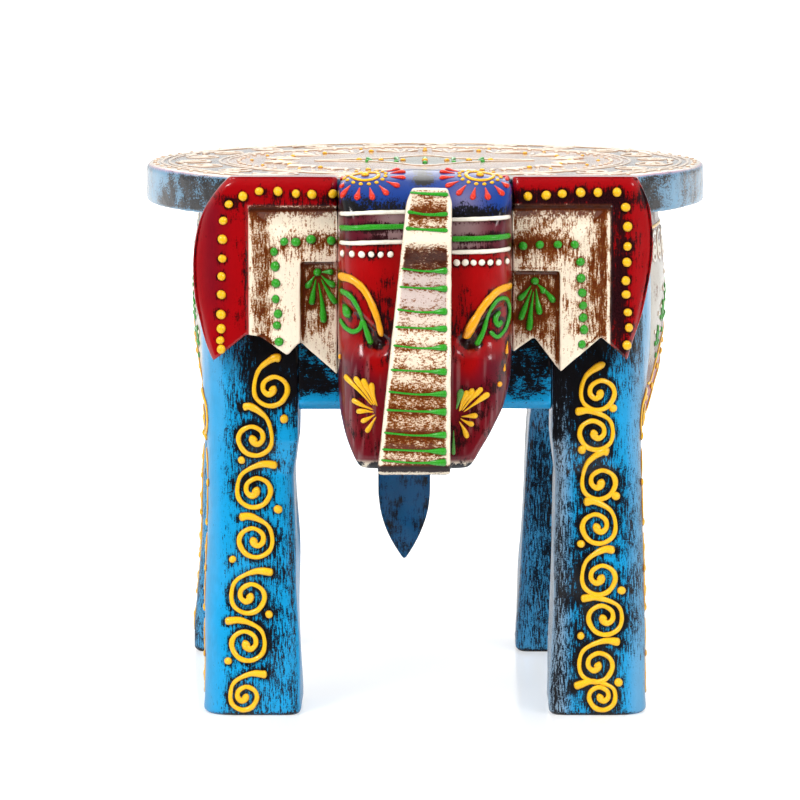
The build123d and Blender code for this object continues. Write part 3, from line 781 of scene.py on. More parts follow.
@dataclass
class ConeWork:
    """Raised paint of one colour on one piece, squeezed on from a cone as lines, dots and petals."""

    timber: Timber
    paint: Paint
    what: str
    replaced: str = ""
    step_length: float = 0.65
    sunk: float = 0.35
    plumpness: float = 0.44
    vertices: list[np.ndarray] = field(default_factory=list)
    rises: list[np.ndarray] = field(default_factory=list)
    faces: list[tuple[int, ...]] = field(default_factory=list)
    count: int = 0

    def __post_init__(self) -> None:
        """Takes the worked skin and a steady hand of its own."""
        self.skin = self.timber.tree()
        self.hand = np.random.default_rng(sum(map(ord, self.timber.node + self.what)))

    def press(self, face: Face, spots: np.ndarray) -> tuple[np.ndarray, np.ndarray]:
        """Presses drawn spots straight back onto the piece.

        Args:
            face: The side the drawing is on.
            spots: The spots, in millimetres, one per row.

        Returns:
            The places on the skin and the skin's directions there.
        """
        across, up, out = (Vector(way) for way in face.value)
        places, ways = [], []
        for first, second in spots:
            start = (across * float(first) + up * float(second) + out * CONE_START) * MM
            place, way, _, _ = self.skin.ray_cast(start, -out)
            if place is None:
                near = places[-1] if places else start - out * 0.3
                place, way, _, _ = self.skin.find_nearest(start + out * (near - start).dot(out))
            places.append(place)
            ways.append(way)
        ways = np.array(ways)
        for _ in range(3):
            ways[1:-1] = ways[1:-1] + 0.5 * (ways[2:] + ways[:-2])
        ways /= np.linalg.norm(ways, axis=1, keepdims=True)
        return np.array(places) / MM, ways

    def add(self, rings: np.ndarray, rises: np.ndarray) -> None:
        """Joins rings of points into a closed bead.

        Args:
            rings: The rings' points, by ring, point and axis.
            rises: How high each point lies in the bead, from 0 to 1.
        """
        rows, size = rings.shape[:2]
        start = self.count
        for low in range(start, start + (rows - 1) * size, size):
            for index in range(size):
                following = (index + 1) % size
                high = low + size
                self.faces.append((low + index, low + following, high + following, high + index))
        self.faces.append(tuple(start + index for index in reversed(range(size))))
        self.faces.append(tuple(start + (rows - 1) * size + index for index in range(size)))
        self.vertices.append(rings.reshape(-1, 3))
        self.rises.append(np.clip(np.broadcast_to(rises, rings.shape[:2]), 0, 1).ravel())
        self.count += rows * size

    def line(self, face: Face, spots: Sequence[Spot], width: float, profile: Profile = EVEN) -> None:
        """Squeezes a smooth line through given spots.

        Args:
            face: The side it is drawn on.
            spots: The spots, in millimetres.
            width: The line's width.
            profile: Its relative width at even steps from start to end.
        """
        places, ways = self.press(face, smooth_path(spots, self.step_length))
        along = np.append(0, np.cumsum(np.linalg.norm(np.diff(places, axis=0), axis=1)))
        total, round_off = along[-1], 0.55 * width
        extra = np.array([0.03, 0.2, 0.5]) * round_off
        stops = np.unique(np.concatenate([along, extra, total - extra]))
        stops = stops[(stops >= 0) & (stops <= total)]
        places, ways = (
            np.stack([np.interp(stops, along, column) for column in rows.T], axis=1)
            for rows in (places, ways)
        )
        ways /= np.linalg.norm(ways, axis=1, keepdims=True)
        widths = width * np.interp(stops / total, np.linspace(0, 1, len(profile)), profile)
        wobble = sum(np.sin(stops / length + self.hand.uniform(0, 6.3)) for length in (0.8, 1.7, 3.1))
        from_end = np.clip(np.minimum(stops, total - stops) / round_off, 0, 1)
        ends = np.sqrt(np.clip(1 - (1 - from_end) ** 2, 0.01, 1))
        half = (widths * (1 + 0.035 * wobble) * ends)[:, None, None] / 2
        run = np.gradient(places, axis=0)
        aside = np.cross(run / (np.linalg.norm(run, axis=1, keepdims=True) + TINY), ways)
        aside /= np.linalg.norm(aside, axis=1, keepdims=True) + TINY
        turn = np.linspace(0, math.pi, 7)
        reach = np.append(np.cos(turn), [-0.7, 0.7])[None, :, None]
        rise = np.append(np.sin(turn) ** 0.85, [0.0, 0.0])
        drop = np.append(np.zeros(7), [1.0, 1.0])[None, :, None]
        height = 2 * half * self.plumpness * rise[None, :, None]
        rings = places[:, None, :] + half * reach * aside[:, None, :]
        self.add(rings + (height - self.sunk * drop) * ways[:, None, :], rise[None, :])
        self.timber.marks.extend(Vector(place) for place in (places[::2] * MM).tolist())

    def lines(
        self, face: Face, drawings: Iterable[Sequence[Spot]], width: float, profile: Profile = EVEN
    ) -> None:
        """Squeezes several lines of one width and profile."""
        for drawing in drawings:
            self.line(face, drawing, width, profile)

    def dot(self, face: Face, spot: Spot, size: float) -> None:
        """Squeezes one round dot, a little uneven.

        Args:
            face: The side it is on.
            spot: Its middle, in millimetres.
            size: Its width.
        """
        places, ways = self.press(face, np.array([spot, spot, spot], dtype=float))
        middle, way = places[1], ways[1]
        aside = np.cross(way, [0.3, 0.5, 0.81])
        aside /= np.linalg.norm(aside)
        beside = np.cross(way, aside)
        turn = np.linspace(0, 2 * math.pi, 14, endpoint=False)
        drift = self.hand.uniform(0, 6.3, 2)
        radius = size / 2 * (1 + 0.06 * np.sin(turn + drift[0]) + 0.04 * np.sin(2 * turn + drift[1]))
        lean = self.hand.normal(0, 0.05, 2) * size
        circle = radius[:, None] * (np.cos(turn)[:, None] * aside + np.sin(turn)[:, None] * beside)
        rings = []
        for reach, rise in DOT_SECTION:
            shift = max(rise, 0) * (lean[0] * aside + lean[1] * beside)
            rings.append(middle + reach * circle + shift + way * rise * size * (self.plumpness / 0.5))
        self.add(np.array(rings), np.array([0.0, 0.0, 0.4, 0.8, 1.0, 1.0])[:, None])
        self.timber.marks.append(Vector(middle * MM))

    def dots(self, face: Face, spots: Iterable[Spot], size: float) -> None:
        """Squeezes a row of dots, each a little larger or smaller."""
        for spot in spots:
            self.dot(face, spot, size * self.hand.uniform(0.9, 1.08))

    def petal(self, face: Face, root: Spot, tip: Spot, width: float, bow: float = 0.0) -> None:
        """Squeezes a petal that swells from a thin root to a round tip.

        Args:
            face: The side it is on.
            root: Its thin end.
            tip: Its round end.
            width: Its greatest width.
            bow: How far its middle bends to its left, in millimetres.
        """
        start, end = np.array(root, dtype=float), np.array(tip, dtype=float)
        run = end - start
        across = np.array([-run[1], run[0]]) / (np.linalg.norm(run) + 1e-9)
        end = end - run / (np.linalg.norm(run) + 1e-9) * 0.2 * width
        middle = (start + end) / 2 + bow * across
        self.line(face, [tuple(start), tuple(middle), tuple(end)], width, PETAL_PROFILE)

    def fan(self, face: Face, root: Spot, tips: Iterable[Spot], width: float) -> None:
        """Squeezes petals that spread from one root, starting a little way out.

        Args:
            face: The side they are on.
            root: The point they spread from.
            tips: Their round ends.
            width: Their greatest width.
        """
        for tip in tips:
            start = (root[0] + 0.2 * (tip[0] - root[0]), root[1] + 0.2 * (tip[1] - root[1]))
            self.petal(face, start, tip, width, self.hand.uniform(-0.4, 0.4))

    def make(self) -> bpy.types.Object:
        """Turns the beads into one object that rides with the piece.

        Returns:
            The new object.
        """
        mesh = bpy.data.meshes.new(f"{self.timber.node}_{self.what}")
        mesh.from_pydata((np.vstack(self.vertices) * MM).tolist(), [], self.faces)
        mesh.attributes.new("rise", "FLOAT", "POINT").data.foreach_set("value", np.concatenate(self.rises))
        mesh.validate()
        mesh.shade_smooth()
        mesh.materials.append(SHELF.take(ConePaint(self.paint)))
        beads = show(mesh.name, mesh)
        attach(beads, "root")
        if self.replaced:
            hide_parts(self.replaced)
        log.info("%s: %d faces", beads.name, len(mesh.polygons))
        return beads


@dataclass(frozen=True)
class Scroll:
    """One curled tendril: a fat tail that sweeps over, round and in to a fat middle."""

    tail: Spot
    middle: Spot
    reach: float = 7.6

    def spots(self) -> list[Spot]:
        """Gives the tendril's spots.

        Returns:
            Spots from the tail to the middle, in millimetres.
        """
        (tail_x, tail_y), (x, y), reach = self.tail, self.middle, self.reach
        aside, above = tail_x - x, tail_y - y
        hand = math.copysign(reach, aside)
        first_up = max(above + 0.06 * reach, 1.12 * reach)
        second_up = max(0.60 * above + 0.10 * reach, 0.72 * reach)
        lead = [self.tail, (x + 0.30 * aside, y + first_up), (x - 0.66 * hand, y + second_up)]
        return lead + [(x + hand * first, y + reach * second) for first, second in SCROLL_CURL]


# ---------------------------------------------------------------- sub-assemblies
class WoodPiece:
    """A wooden piece that is carved, drawn on, painted and rubbed, in that order."""

    node: str
    grain: float
    rounding: int
    finish: AntiquedEnamel
    slot: Slot
    timber: Timber

    def carve(self) -> None:
        """Works the blank's surface by hand."""

    def draw(self) -> None:
        """Squeezes the piece's raised paint onto it."""

    def coat(self) -> Coat:
        """Paints the piece and rubs wash into it.

        Returns:
            The coat.
        """
        raise NotImplementedError

    def make(self) -> None:
        """Works the piece from its solid and dresses it."""
        self.timber = Timber(self.node, self.grain, self.rounding)
        self.carve()
        self.timber.keep_inside()
        self.draw()
        self.timber.dress(self.coat(), self.finish, self.slot)


@dataclass
class Leg(WoodPiece):
    """One carved leg in antiqued blue, with tendrils up its shown faces.

    Its beads lie flatter than its solid's on a front leg's outer side. A leg may get more wash, with
    linen along its inner and outer edges as a painted highlight, and a clean edge is wiped along its outer
    side.
    """

    end: End
    side: Side
    tendrils: tuple[Tendril, ...] = ()
    drops: tuple[Spot, ...] = ()
    column_x: float = 76.0
    column_y: float = 80.0
    column_offset: float = 11.5
    rear_top: float = 128.0
    outer_top: float = 140.0
    rear_lean: float = 3.0 / 106
    pitch: float = 19.0
    lowest_tail: float = 24.0
    curl_reach: float = 7.6
    foot_gap: float = 2.6
    line_width: float = 2.2
    drop_size: float = 3.7
    flat_bead: float = 0.30
    wash_and_sheen: float = 0.0
    clean_edge: float = 0.0
    grain: float = 1.0
    rounding: int = 2
    slot: ClassVar[Slot] = Slot.BODY
    finish: ClassVar[AntiquedEnamel] = AntiquedEnamel(
        "leg_enamel", grain=(1.0, 1.0, 8.0), streak_size=0.60, streak_bite=1.0,
        cloud_bite=0.30, bare=0.26, full=0.76,
    )

    @property
    def node(self) -> str:
        """The leg's node."""
        return f"leg_{self.end.name.lower()}_{self.side.name.lower()}"

    def column(self, foot: float, lean: float, top: float, hand: int) -> tuple[list[Tendril], list[Spot]]:
        """Lays out an even column of tendrils for a face that has no drawing of its own.

        Args:
            foot: The column's place across the face, at the floor.
            lean: How far it moves across for each millimetre up.
            top: The height of its first tail.
            hand: Which side the first tail is on, 1 or -1.

        Returns:
            The tendrils' tails and middles, and the drops beside them.
        """
        tendrils, drops = [], []
        height = top

        def at(aside: float, up: float) -> Spot:
            """Gives the spot beside the column's middle line."""
            return (foot + lean * up + aside, up)

        while height > self.lowest_tail:
            tendrils.append((at(hand * 5.5, height), at(-hand * 0.6, height - 11)))
            drops.append(at(hand * 8.8, height - 19.5))
            hand, height = -hand, height - self.pitch
        return tendrils, drops[:-1]

    def squeeze(
        self, work: ConeWork, face: Face, tendrils: Iterable[Tendril], drops: Iterable[Spot]
    ) -> None:
        """Squeezes tendrils and drops onto one face. A curl that is near the floor is smaller.

        Args:
            work: The raised paint to add them to.
            face: The side they are on.
            tendrils: Their tails and middles.
            drops: The drops beside them.
        """
        for tail, middle in tendrils:
            curl = Scroll(tail, middle, min(self.curl_reach, middle[1] - self.foot_gap))
            work.line(face, curl.spots(), self.line_width, SCROLL_PROFILE)
        work.dots(face, drops, self.drop_size)

    def carve(self) -> None:
        """Leaves long knife marks, and keeps the foot and the top true."""
        points = self.timber.points
        coarse = Waver(3 + self.side.value, 34, (1, 1, 2.2)).at(points)
        fine = Waver(8, 7.0, (1, 1, 4.0)).at(points)
        free = step(points[:, 2], 0, 6) * step(points[:, 2], 219, 200)
        self.timber.push((0.30 * coarse + 0.07 * fine) * free)

    def draw(self) -> None:
        """Squeezes tendrils onto the end face and the outer side."""
        work = ConeWork(self.timber, Paint.YOLK_YELLOW, "beads", f"{self.node}_tendrils")
        hand = self.side.value
        if self.end is End.FRONT:
            self.squeeze(work, Face.FRONT, self.tendrils, self.drops)
            work.plumpness = self.flat_bead
        else:
            foot = hand * self.column_x - self.column_offset
            self.squeeze(work, Face.REAR, *self.column(foot, self.rear_lean, self.rear_top, hand))
        outer = Face.LEFT if self.side is Side.LEFT else Face.RIGHT
        foot = self.end.value * self.column_y + self.column_offset
        self.squeeze(work, outer, *self.column(foot, 0.0, self.outer_top, -self.end.value))
        work.make()

    def coat(self) -> Coat:
        """Paints the leg blue and rubs black wash round its paint, into its hollows and at its ends.
        In the hollows and high on the front face under the ears, the wash is partly painted shade.

        Returns:
            The coat.
        """
        coat = Coat(self.timber, Paint.LEG_BLUE, Paint.BLACK_WASH, 0.14)
        points, normals = self.timber.points, self.timber.normals
        height, out = points[:, 2], self.side.value * points[:, 0]
        coat.rub(0.20 * self.timber.nearness(13.0) + 0.40 * self.timber.nearness(4.0))
        # Darker in the hollows: partly wash, partly painted shade.
        coat.rub(0.30 * step(self.timber.sharpness(3), -0.012, -0.05))
        coat.rub(0.10 * Waver(21 + self.side.value, 26, (1, 1, 2.5)).at(points))
        if self.end is End.FRONT:
            front = step(-normals[:, 1], 0.3, 0.8)
            # Darker high on the front face under the ears: partly wash, partly painted shadow of the ears.
            coat.rub(0.30 * front * step(height, 120, 160) + 0.20 * front * step(height, 150, 166))
            coat.rub(0.13 * front * step(out, 86, 68) + 0.20 * front * step(out, 60.5, 57.5))
            coat.rub(-self.clean_edge * step(out, 84, 93) * step(height, 158, 130))
            # More wash, and linen along the inner and outer edges as a painted highlight.
            coat.rub(self.wash_and_sheen * (0.7 + 0.9 * step(out, 70, 60) * step(height, 20, 60)))
            coat.brush(Paint.LINEN, self.wash_and_sheen * (5.0 * step(out, 66, 58) + 2.2 * step(out, 87, 94)))
        else:
            coat.rub(0.28 + 0.18 * step(height, 120, 165))
            coat.brush(Paint.LINEN, np.full(len(points), 0.10))
        coat.rub(0.24 * step(height, 160, 214))
        # Painted reflection: the outer side is brushed paler sky blue, as if it mirrored the bright
        # surround.
        coat.brush(Paint.SKY_BLUE, 0.35 * step(self.side.value * normals[:, 0], 0.4, 0.9))
        coat.rub(0.4 * step(height, 2.2, 0.4))
        return coat


@dataclass
class Seat(WoodPiece):
    """The round seat with its mandala, a blue rim and a notch cut for the head."""

    axis_y: float = 21.5
    radius: float = 127.0
    top: float = 236.0
    front_cut: float = -88.5
    field_radius: float = 92.0
    band_radius: float = 118.0
    swirls: int = 22
    petals: int = 16
    line_width: float = 1.5
    grain: float = 1.15
    rounding: int = 2
    node: ClassVar[str] = "seat"
    slot: ClassVar[Slot] = Slot.SEAT
    finish: ClassVar[AntiquedEnamel] = AntiquedEnamel(
        "seat_enamel", grain=(5.0, 1.0, 1.0), lacquer=1.0, coat_roughness=0.10
    )

    def spot(self, turn: float, radius: float) -> Spot:
        """Gives the place at a turn and a distance from the seat's axis."""
        return (radius * math.cos(turn), self.axis_y + radius * math.sin(turn))

    def on_seat(self, spot: Spot) -> bool:
        """Tells whether a spot is on the seat and not in its front cut."""
        return spot[1] > self.front_cut and math.hypot(spot[0], spot[1] - self.axis_y) < self.radius - 1

    def ring(self, work: ConeWork, radius: float) -> None:
        """Squeezes the part of a ring that lies on the seat.

        Args:
            work: The raised paint to add it to.
            radius: The ring's radius.
        """
        run: list[Spot] = []
        for turn in np.linspace(-0.5 * math.pi, 1.5 * math.pi, 121):
            spot = self.spot(float(turn), radius)
            if self.on_seat(spot):
                run.append(spot)
            elif len(run) > 3:
                work.line(Face.TOP, run, self.line_width)
                run = []
        if len(run) > 3:
            work.line(Face.TOP, run, self.line_width)

    def swirl(self, turn: float, radius: float, hand: int) -> list[Spot]:
        """Bends one small tendril to the band.

        Args:
            turn: The turn of its middle round the axis.
            radius: The distance of its middle from the axis.
            hand: Which way it curls, 1 or -1.

        Returns:
            Its spots.
        """
        flat = Scroll((hand * 10.5, 6.5), (0.0, 0.0), 7.2).spots()
        return [self.spot(turn + first / radius, radius + second) for first, second in flat]

    def star(self) -> list[Spot]:
        """Gives the corners of the long star in the middle, with hollow sides.

        Returns:
            The eight corners, in turn.
        """
        corners = []
        for index in range(8):
            turn = math.pi * index / 4
            reach, depth = (50, 33) if index % 2 == 0 else (25, 17)
            corners.append((reach * math.cos(turn), self.axis_y + depth * math.sin(turn)))
        return corners

    def draw(self) -> None:
        """Squeezes the mandala's lines, petals and dots onto the top."""
        self.draw_cream()
        yellow = ConeWork(self.timber, Paint.YOLK_YELLOW, "yellow_work")
        for index in range(self.petals):
            turn = 2 * math.pi * index / self.petals
            yellow.dot(Face.TOP, self.spot(turn, 66), 2.6)
            yellow.dot(Face.TOP, self.spot(turn, 79), 1.8)
        yellow.dots(Face.TOP, [(offset, self.axis_y) for offset in range(-30, 31, 10)], 2.8)
        yellow.make()
        leaf = ConeWork(self.timber, Paint.LEAF_GREEN, "green_work")
        for sign in (1, -1):
            for place in (-24, -12, 0, 12, 24):
                root = (place, self.axis_y + sign * 3)
                tip = (place * 1.12, self.axis_y + sign * (15 - abs(place) * 0.22))
                leaf.petal(Face.TOP, root, tip, 2.6)
        leaf.make()

    def draw_cream(self) -> None:
        """Squeezes the cream rings, the band's tendrils, the dots, the fans and the star."""
        cream = ConeWork(self.timber, Paint.IVORY, "cream_work", plumpness=0.36)
        for edge, offsets in ((self.field_radius, (-2.2, 1.4)), (self.band_radius, (-1.6, 1.8))):
            for offset in offsets:
                self.ring(cream, edge + offset)
        middle = (self.field_radius + self.band_radius) / 2
        for index in range(self.swirls):
            turn = 2 * math.pi * (index + 0.25) / self.swirls
            spots = self.swirl(turn, middle, 1 if index % 2 else -1)
            if all(self.on_seat(spot) for spot in spots):
                cream.line(Face.TOP, spots, self.line_width, SCROLL_PROFILE)
        for index in range(3 * self.swirls):
            turn = 2 * math.pi * index / (3 * self.swirls)
            for radius, size in ((self.band_radius + 5.0, 2.0), (self.field_radius - 7.0, 2.1)):
                if self.on_seat(self.spot(turn, radius + 2)):
                    cream.dot(Face.TOP, self.spot(turn, radius), size)
        for index in range(self.petals):
            turn = 2 * math.pi * (index + 0.5) / self.petals
            for lean in (-0.11, -0.055, 0.0, 0.055, 0.11):
                tip = self.spot(turn + lean * 1.35, 75 - 60 * abs(lean))
                cream.petal(Face.TOP, self.spot(turn, 58), tip, 2.4)
        star = self.star()
        cream.line(Face.TOP, [*star, star[0]], self.line_width)
        cream.make()

    def carve(self) -> None:
        """Leaves the top a little uneven, with fine scraper marks."""
        points = self.timber.points
        self.timber.push(0.12 * Waver(5, 55).at(points) + 0.04 * Waver(6, 6, (4, 1, 1)).at(points) - 0.12)

    def coat(self) -> Coat:
        """Paints the rim blue and the top in rings, from the rim in: cream, slate, peach and sage.

        Returns:
            The coat.
        """
        points, normals = self.timber.points, self.timber.normals
        across, along = points[:, 0], points[:, 1] - self.axis_y
        reach, turn = np.hypot(across, along), np.arctan2(along, across)
        top = step(normals[:, 2], 0.55, 0.8)
        rim = step(np.abs(normals[:, 2]), 0.7, 0.4)
        under = step(-normals[:, 2], 0.55, 0.8)
        coat = Coat(self.timber, Paint.SKY_BLUE, Paint.BLACK_WASH, 0.16)
        coat.brush(Paint.PEACH, top)
        coat.brush(Paint.SLATE, top * step(reach, self.field_radius - 0.4, self.field_radius + 0.6))
        coat.brush(Paint.CREAM, top * step(reach, self.band_radius + 2.4, self.band_radius + 3.4))
        lobe = 47 + 7 * np.cos(8 * turn)
        coat.brush(Paint.BROWN_WASH, 0.30 * top * step(reach, 80, 76) * step(reach, lobe, lobe + 4))
        star = np.abs(across) / 46 + np.abs(along) / 30
        coat.brush(Paint.SAGE, top * step(star, 1.06, 1.0))
        coat.tint(Paint.BROWN_WASH, top * step(reach, self.field_radius, self.field_radius - 1))
        coat.rub(top * (0.04 + 0.08 * self.timber.nearness(2.6)))
        coat.rub(rim * (0.19 + 0.12 * Waver(31, 40).at(points) + 0.06 * Waver(33, 12).at(points)))
        coat.brush(Paint.LINEN, 0.18 * rim)
        notch = step(across, -124, -96) * step(across, -60, -84)
        notch = notch + step(across, 78, 92) * step(across, 112, 96)
        coat.rub(0.34 * rim * notch * step(along, -30, -60))
        edge = step(points[:, 2], self.top - 1.6, self.top - 0.5) * step(reach, 125, 126.2)
        coat.brush(Paint.RIM_PINK, 0.8 * edge)
        coat.rub(0.12 * under + 0.45 * under * step(reach, 112, 60))
        return coat


@dataclass
class SideBoard(WoodPiece):
    """One bulging flank, painted as a saddle cloth over the arch."""

    side: Side
    middle_y: float = 11.5
    half_length: float = 56.0
    underside: float = 122.0
    arch_rise: float = 24.0
    arch_foot: float = 10.0
    plumpness: float = 0.30
    grain: float = 1.1
    rounding: int = 2
    slot: ClassVar[Slot] = Slot.CLOTH
    finish: ClassVar[AntiquedEnamel] = AntiquedEnamel("cloth_enamel", grain=(1.0, 1.0, 6.0))

    @property
    def node(self) -> str:
        """The board's node."""
        return f"side_board_{self.side.name.lower()}"

    def over_arch(self, along: float | np.ndarray, gap: float) -> float | np.ndarray:
        """Gives the height at a place along the flank, a gap above its lower edge.

        Args:
            along: The place, from the flank's middle.
            gap: The height above the lower edge.

        Returns:
            The height from the floor.
        """
        span = self.half_length - self.arch_foot + 2
        share = np.clip(1 - (np.abs(along) / span) ** 2, 0, 1)
        return self.underside + gap + self.arch_rise * share

    def draw(self) -> None:
        """Squeezes the cloth's border, leaves, dots and top row onto the outer face."""
        face = Face.LEFT if self.side is Side.LEFT else Face.RIGHT
        yellow, green, white = (
            ConeWork(self.timber, paint, what, plumpness=self.plumpness)
            for paint, what in (
                (Paint.YOLK_YELLOW, "yellow_work"), (Paint.LEAF_GREEN, "green_work"),
                (Paint.CHALK_WHITE, "white_work"),
            )
        )
        offsets = np.linspace(-self.half_length + 3, self.half_length - 3, 23)
        low_line, dotted, high_line = (
            [(self.middle_y + at, float(self.over_arch(at, gap))) for at in offsets]
            for gap in (6.0, 12.5, 19.0)
        )
        yellow.lines(face, (low_line, high_line), 1.7)
        yellow.dots(face, dotted[::2], 3.2)
        yellow.line(face, [(self.middle_y + at, 210.5) for at in offsets], 1.7)
        leaf_tips = ((-6.0, 5.5), (-3.4, 10.5), (0, 13.0), (3.4, 10.5), (6.0, 5.5))
        berries = ((-7.0, 10.0), (0, 17.5), (7.0, 10.0))
        for at in np.linspace(-42, 42, 7):
            low, place = float(self.over_arch(at, 26)), self.middle_y + float(at)
            green.fan(face, (place, low + 1.5), [(place + x, low + y) for x, y in leaf_tips], 2.5)
            green.dot(face, (place, low - 1.2), 2.8)
            white.dots(face, [(place + x, low + y) for x, y in berries], 2.2)
        for at in np.linspace(-49, 49, 8):
            place = self.middle_y + float(at)
            curl = Scroll((place + 5.0, 207.5), (place, 200.0), 4.6)
            white.line(face, curl.spots(), 1.5, SCROLL_PROFILE)
        for work in (yellow, green, white):
            work.make()

    def carve(self) -> None:
        """Leaves the bulge a little uneven."""
        self.timber.push(0.16 * Waver(41, 30).at(self.timber.points) - 0.10)

    def coat(self) -> Coat:
        """Paints the cloth in linen with a red border and a blue edge, and the rest dark blue.

        Returns:
            The coat.
        """
        points, normals = self.timber.points, self.timber.normals
        above = points[:, 2] - self.over_arch(points[:, 1] - self.middle_y, 0)
        out = step(self.side.value * normals[:, 0], 0.15, 0.45)
        coat = Coat(self.timber, Paint.LEG_BLUE, Paint.BLACK_WASH, 0.42)
        coat.brush(Paint.LINEN, out)
        coat.brush(Paint.EAR_RED, out * step(above, 6.0, 6.6) * step(above, 19.0, 18.4))
        coat.brush(Paint.LEG_BLUE, out * step(above, 6.0, 5.4))
        coat.tint(Paint.BROWN_WASH, out * step(above, 18.4, 19.0))
        coat.rub(-0.22 * out + 0.34 * self.timber.nearness(4.0))
        over_border = step(above, 19, 24) * step(above, 30, 24)
        coat.rub(0.10 * out * Waver(43, 26).at(points) + 0.3 * out * over_border)
        coat.rub(0.3 * step(points[:, 2], 206, 216))
        return coat


@dataclass
class EndBoard(WoodPiece):
    """The board between two legs at one end, dark with blue left along its lower edge."""

    end: End
    middle_x: float = -10.0
    underside: float = 135.0
    blue_edge: float = 9.0
    grain: float = 1.0
    rounding: int = 2
    slot: ClassVar[Slot] = Slot.BODY
    finish: ClassVar[AntiquedEnamel] = AntiquedEnamel(
        "board_enamel", grain=(3.0, 1.0, 1.0), streak_bite=0.55, speck_bite=0.60, cloud_bite=0.75
    )

    @property
    def node(self) -> str:
        """The board's node."""
        return f"{self.end.name.lower()}_board"

    def draw(self) -> None:
        """Squeezes a row of tendrils along the rear board. The front board has none."""
        if self.end is End.FRONT:
            return
        work = ConeWork(self.timber, Paint.YOLK_YELLOW, "tendrils")
        for sign in (-1, 1):
            for offset in (24.0, 41.0):
                place = self.middle_x + sign * offset
                curl = Scroll((place + sign * 7.0, 172), (place, 160), 7.4)
                work.line(Face.REAR, curl.spots(), 2.1, SCROLL_PROFILE)
                work.dot(Face.REAR, (place - sign * 2, 181), 3.4)
                work.dot(Face.REAR, (place + sign * 9.0, 153), 3.4)
        work.make()

    def carve(self) -> None:
        """Leaves the board a little uneven along its grain."""
        self.timber.push(0.12 * Waver(51, 24, (2, 1, 1)).at(self.timber.points) - 0.08)

    def coat(self) -> Coat:
        """Paints the board blue under dark wash, which thins out towards its lower edge.

        Returns:
            The coat.
        """
        points, normals = self.timber.points, self.timber.normals
        coat = Coat(self.timber, Paint.LEG_BLUE, Paint.BLACK_WASH, 0.42)
        out = step(self.end.value * normals[:, 1], 0.3, 0.6)
        above = points[:, 2] - self.underside
        if self.end is End.FRONT:
            dark = 0.22 * step(above, 3.0, self.blue_edge + 3.0)
        else:
            dark = 0.10 * step(above, 30, 70) - 0.24
        coat.rub(out * dark + 0.08 * Waver(53, 18, (1.6, 1, 1)).at(points))
        coat.rub(-0.40 * step(above, self.blue_edge, 1.0) + 0.3 * self.timber.nearness(6.0))
        return coat


